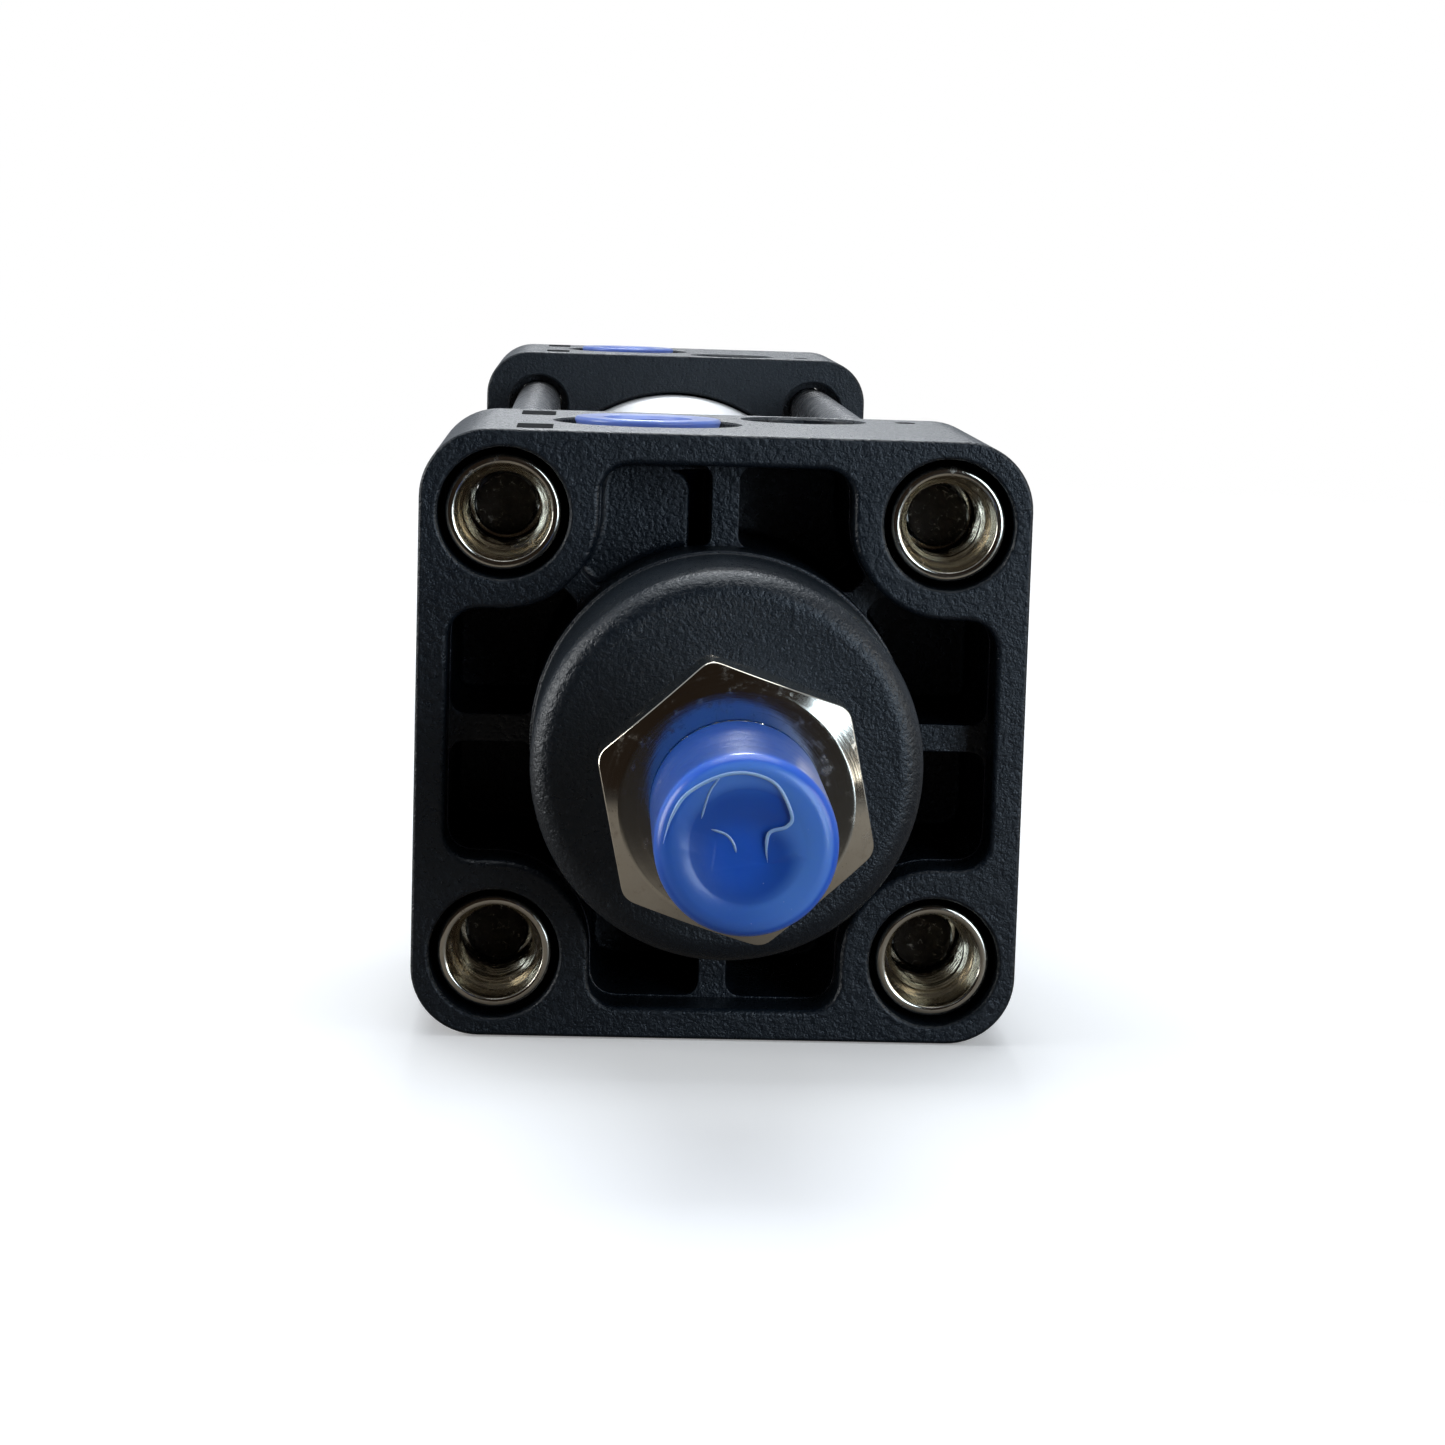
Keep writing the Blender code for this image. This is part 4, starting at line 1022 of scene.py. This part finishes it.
def make_thread_cap():
    """Soft cap whose end skin has sunk and puckered into a few sharp folds."""
    low, high = box_mm("rod_thread_cap")
    tip, mouth, radius = depth_of(low.y), depth_of(high.y), (high.x - low.x) / 2
    inner, floor = 5.25, depth_of(box_mm("piston_rod")[0].y) - 0.35
    folds = [
        (smooth_path([(-0.90, 0.02), (-0.82, 0.30), (-0.66, 0.56), (-0.32, 0.76), (0.0, 0.80), (0.30, 0.68),
                      (0.47, 0.36), (0.42, 0.23), (0.24, 0.16), (0.21, -0.02), (0.23, -0.18)]), 0.12),
        (smooth_path([(-0.30, 0.77), (-0.42, 0.58), (-0.50, 0.28)]), 0.08),
        (smooth_path([(-0.40, 0.18), (-0.24, 0.13), (-0.15, 0.04), (-0.11, -0.08)]), 0.09),
    ]

    def sink(u, v):
        """How far the end skin lies behind the tip, in mm, at a place given in shares of the radius."""
        point = Vector((u, v))
        away = (point - Vector((-0.03, -0.05))).length
        dish = 0.48 * max(0.0, 1 - (away / 0.80) ** 2) ** 1.5
        dish -= 0.12 * math.exp(-(away / 0.26) ** 2)
        crest = folds[0][0]
        gap, where, side = distance_to(crest, point)
        taper = min(1.0, (point - crest[0]).length / 0.35, (point - crest[-1]).length / 0.40, 12 * where, 12 - 12 * where)
        if side < 0:
            dish += 0.26 * taper * math.exp(-gap / 0.22) * (1 - math.exp(-gap / 0.03))
        else:
            dish *= 1 - 0.55 * taper * math.exp(-gap / 0.5)
        return 0.05 + max(0.0, dish)

    def on_skin(point):
        fade = max(0.0, min(1.0, (radius - edge - radius * point.length) / 1.1))
        return Vector((point.x * radius, tip + sink(point.x, point.y) * fade + 0.02, point.y * radius))

    segments, edge, count = 220, 1.05, 64
    rows = [(tip, (radius - edge) * share / count, True) for share in range(1, count)]
    rim = [(d, r, False) for d, r in arc(tip + edge, radius - edge, edge, 180, 90, 12)]
    side = [(tip + edge + (mouth - tip - edge) * i / 16, radius - 0.03 * math.sin(2.2 * i), False)
            for i in range(1, 17)]
    inside = [(mouth + 0.0, radius - 0.15, False), (mouth, inner, False), (floor + 0.3, inner, False),
              (floor, inner - 0.3, False)]
    bm = bmesh.new()
    centre = bm.verts.new((0, tip + sink(0, 0), 0))
    rings = []
    for depth, r, skin in rows + rim + side + inside:
        ring = []
        for k in range(segments):
            angle = 2 * math.pi * k / segments
            x, z = r * math.sin(angle), r * math.cos(angle)
            fade = max(0.0, min(1.0, (radius - edge - r) / 1.1)) if skin else 0.0
            ring.append(bm.verts.new((x, depth + (sink(x / radius, z / radius) * fade if skin else 0), z)))
        rings.append(ring)
    last = bm.verts.new((0, floor, 0))
    for k in range(segments):
        n = (k + 1) % segments
        bm.faces.new((centre, rings[0][k], rings[0][n]))
        bm.faces.new((last, rings[-1][n], rings[-1][k]))
        for a, b in zip(rings, rings[1:]):
            bm.faces.new((a[k], a[n], b[n], b[k]))
    settle("thread_cap_moulded", bm, BLUE_CAP, "thread_cap", ["rod_thread_cap"], sharp=60.0)
    for number, (path, thick) in enumerate(folds):
        crease(path, thick, on_skin, f"thread_cap_fold_{number + 1}")


def make_wiper():
    """Rod wiper with a thin lip that leans on the rod."""
    low, high = box_mm("rod_wiper")
    front, back, outer, inner = depth_of(low.y), depth_of(high.y), (high.x - low.x) / 2, 6.25
    profile = [(back, inner + 0.1), (back, outer), (front + 0.9, outer), (front + 0.7, outer - 0.15),
               (front + 0.6, inner + 1.3), (front + 0.35, inner + 0.7), (front + 0.02, inner + 0.25),
               (front, inner + 0.12), (front + 0.1, inner + 0.02), (front + 0.9, inner + 0.25),
               (front + 1.6, inner + 0.45), (back - 1.0, inner + 0.3)]
    settle("rod_wiper_lipped", turned(profile, 96), RUBBER, BODY, ["rod_wiper"])


# ---------------------------------------------------------------- carried-over CAD nodes

def soften(obj, width, angle):
    """Rounds an object's sharp edges, before its normals are weighted."""
    bevel = obj.modifiers.new("soft_edges", "BEVEL")
    bevel.width, bevel.segments, bevel.limit_method = width * MM, 3, "ANGLE"
    bevel.angle_limit = math.radians(angle)
    obj.modifiers.move(len(obj.modifiers) - 1, 0)


def dress_cad_nodes():
    """Inner pieces keep their CAD mesh, with softened edges and their own materials."""
    finishes = {
        "barrel_gasket_front": RUBBER, "barrel_gasket_rear": RUBBER, "rod_seal": RUBBER,
        "cushion_seal_front": RUBBER, "cushion_seal_rear": RUBBER, "piston_seal_front": RUBBER,
        "piston_seal_rear": RUBBER, "piston_oring": RUBBER, "rod_bush": BRONZE, "wear_ring": WEAR,
        "magnet_ring": MAGNET, "piston_front_half": ALLOY, "piston_rear_half": ALLOY,
        "cushion_sleeve_front": ALLOY, "cushion_sleeve_rear": ALLOY,
    }
    for node, material in finishes.items():
        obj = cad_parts[node]
        obj.data.materials.clear()
        obj.data.materials.append(material)
        soften(obj, 0.15, 40.0)


# ---------------------------------------------------------------- floor, light and camera

def make_floor():
    """Pale floor disc that fades into the backdrop. Only the camera sees it pale: for light and
    reflections it is as dark as the room in front, so the object's underside stays dark."""
    radius, rings, segments = 0.7, 6, 96
    bm = bmesh.new()
    rows = [[bm.verts.new((radius * i / rings * math.cos(a), radius * i / rings * math.sin(a), -0.0001))
             for a in (2 * math.pi * k / segments for k in range(segments))] for i in range(1, rings + 1)]
    bm.faces.new(rows[0])
    for a, b in zip(rows, rows[1:]):
        for k in range(segments):
            bm.faces.new((a[k], b[k], b[(k + 1) % segments], a[(k + 1) % segments]))
    mesh = bpy.data.meshes.new("floor")
    bm.to_mesh(mesh)
    bm.free()
    floor = bpy.data.objects.new("floor", mesh)
    bpy.context.scene.collection.objects.link(floor)
    s = Shader("floor", (0.92, 0.92, 0.92), 0.7, Specular_IOR_Level=0.2)
    grain = s.noise(0.02, 3.0)
    pale = s.blend(grain, (0.90, 0.90, 0.905), (0.94, 0.94, 0.94))
    rays = s.node("ShaderNodeLightPath").outputs["Is Camera Ray"]
    split = s.node("ShaderNodeSeparateXYZ")
    s.feed(split, 0, s.mm)
    near = s.ramp(split.outputs["Y"], -230, -160)
    unseen = s.blend(near, (0.010, 0.007, 0.005), (0.15, 0.13, 0.11))
    s.set("Base Color", s.blend(rays, unseen, pale))
    s.set("Emission Color", (1.0, 0.99, 0.98, 1.0))
    s.set("Emission Strength", s.maths("MULTIPLY", rays, 0.22))
    clear = s.node("ShaderNodeBsdfTransparent")
    mix = s.node("ShaderNodeMixShader")
    fade = s.ramp(s.vector_math("LENGTH", s.mm), 180, 620)
    s.feed(mix, 0, fade)
    s.feed(mix, 1, s.shader.outputs[0])
    s.feed(mix, 2, clear.outputs[0])
    s.feed(s.tree.nodes["Material Output"], "Surface", mix.outputs[0])
    mesh.materials.append(s.material)


def make_world():
    """White backdrop for the camera. The object is lit by a pale room behind, beside and above it,
    and faces a dark warm one."""
    world = bpy.data.worlds.new("studio")
    bpy.context.scene.world = world
    world.use_nodes = True
    tree = world.node_tree
    tree.nodes.clear()

    def node(kind, **values):
        made = tree.nodes.new(kind)
        for key, value in values.items():
            setattr(made, key, value)
        return made

    coords = node("ShaderNodeTexCoord")
    split = node("ShaderNodeSeparateXYZ")
    tree.links.new(coords.outputs["Generated"], split.inputs[0])

    def smooth(axis, low, high):
        made = node("ShaderNodeMapRange", interpolation_type="SMOOTHSTEP")
        made.inputs["From Min"].default_value, made.inputs["From Max"].default_value = low, high
        tree.links.new(split.outputs[axis], made.inputs["Value"])
        return made.outputs[0]

    lit = node("ShaderNodeMath", operation="MAXIMUM")
    tree.links.new(smooth("Y", WORLD_SIDE[0], WORLD_SIDE[1]), lit.inputs[0])
    tree.links.new(smooth("Z", WORLD_TOP[0], WORLD_TOP[1]), lit.inputs[1])
    above = node("ShaderNodeMath", operation="MULTIPLY")
    tree.links.new(lit.outputs[0], above.inputs[0])
    tree.links.new(smooth("Z", -0.25, 0.05), above.inputs[1])
    room = node("ShaderNodeMix", data_type="RGBA")
    room.inputs[6].default_value = (*WORLD_FRONT, 1.0)
    room.inputs[7].default_value = (*WORLD_BACK, 1.0)
    tree.links.new(above.outputs[0], room.inputs["Factor"])
    rays = node("ShaderNodeLightPath")
    shown = node("ShaderNodeMix", data_type="RGBA")
    shown.inputs[7].default_value = (1.0, 1.0, 1.0, 1.0)
    tree.links.new(rays.outputs["Is Camera Ray"], shown.inputs["Factor"])
    tree.links.new(room.outputs[2], shown.inputs[6])
    background = node("ShaderNodeBackground")
    tree.links.new(shown.outputs[2], background.inputs["Color"])
    output = node("ShaderNodeOutputWorld")
    tree.links.new(background.outputs[0], output.inputs["Surface"])


def softbox(name, place, aim, size, power, colour=(1, 1, 1)):
    light = bpy.data.lights.new(name, "AREA")
    light.shape, light.size, light.size_y = "RECTANGLE", size[0], size[1]
    light.energy, light.color = power, colour
    obj = bpy.data.objects.new(name, light)
    obj.location = place
    obj.rotation_euler = (Vector(aim) - Vector(place)).to_track_quat("-Z", "Y").to_euler()
    bpy.context.scene.collection.objects.link(obj)


WORLD_FRONT, WORLD_BACK = (0.016, 0.011, 0.008), (0.38, 0.41, 0.45)
WORLD_SIDE, WORLD_TOP = (-0.62, -0.05), (0.80, 0.98)


def make_lights():
    centre = (0, 0, AXIS_Z * MM)
    softbox("overhead", (0.0, 0.10, 0.70), centre, (0.6, 0.6), 3.0, (0.91, 0.96, 1.0))
    softbox("window_right", (0.22, -0.42, 0.10), centre, (0.17, 0.30), 0.80, (0.66, 0.82, 1.0))
    softbox("side_right", (0.60, -0.36, 0.24), centre, (0.30, 0.40), 1.1, (1.0, 0.97, 0.90))
    softbox("left", (-0.62, -0.10, 0.20), centre, (0.30, 0.45), 2.6, (0.97, 0.99, 1.0))
    softbox("back", (0.0, 0.80, 0.60), centre, (0.16, 0.30), 2.2, (0.94, 0.97, 1.0))


def make_camera():
    """Just above the rod's axis and a little to its left, level with the top of the caps."""
    data = bpy.data.cameras.new("camera")
    camera = bpy.data.objects.new("camera", data)
    bpy.context.scene.collection.objects.link(camera)
    yaw, pitch, roll = math.radians(3.52), math.radians(-7.89), math.radians(1.86)
    forward = Vector((math.sin(yaw) * math.cos(pitch), math.cos(yaw) * math.cos(pitch), math.sin(pitch)))
    level = forward.cross(Vector((0, 0, 1))).normalized()
    above = level.cross(forward)
    right = level * math.cos(roll) + above * math.sin(roll)
    up = above * math.cos(roll) - level * math.sin(roll)
    turn = Matrix((right, up, -forward)).transposed().to_4x4()
    camera.matrix_world = Matrix.Translation((-0.010242, -0.349615, 0.059914)) @ turn
    data.lens, data.sensor_width = 91.68, 36.0
    data.shift_x, data.shift_y = -0.0584, 0.0181
    data.clip_start, data.clip_end = 0.01, 20.0
    bpy.context.scene.camera = camera


def main():
    make_front_cap()
    make_rear_cap()
    make_marks()
    make_barrel()
    make_tie_rods()
    make_tie_nuts()
    make_cushion_screws()
    make_port_plugs()
    make_rod()
    make_hex_nut("rod_nut_plated", "rod_nut", "rod_nut", 5.2, 1.25, math.radians(-11.8), NICKEL)
    make_hex_nut("piston_nut_plated", "piston_nut", "rod", 5.25, 1.25, 0.0, SCREW_ZINC)
    make_thread_cap()
    make_wiper()
    dress_cad_nodes()
    make_floor()
    make_world()
    make_lights()
    make_camera()
    view = bpy.context.scene.view_settings
    view.view_transform = "Standard"


main()
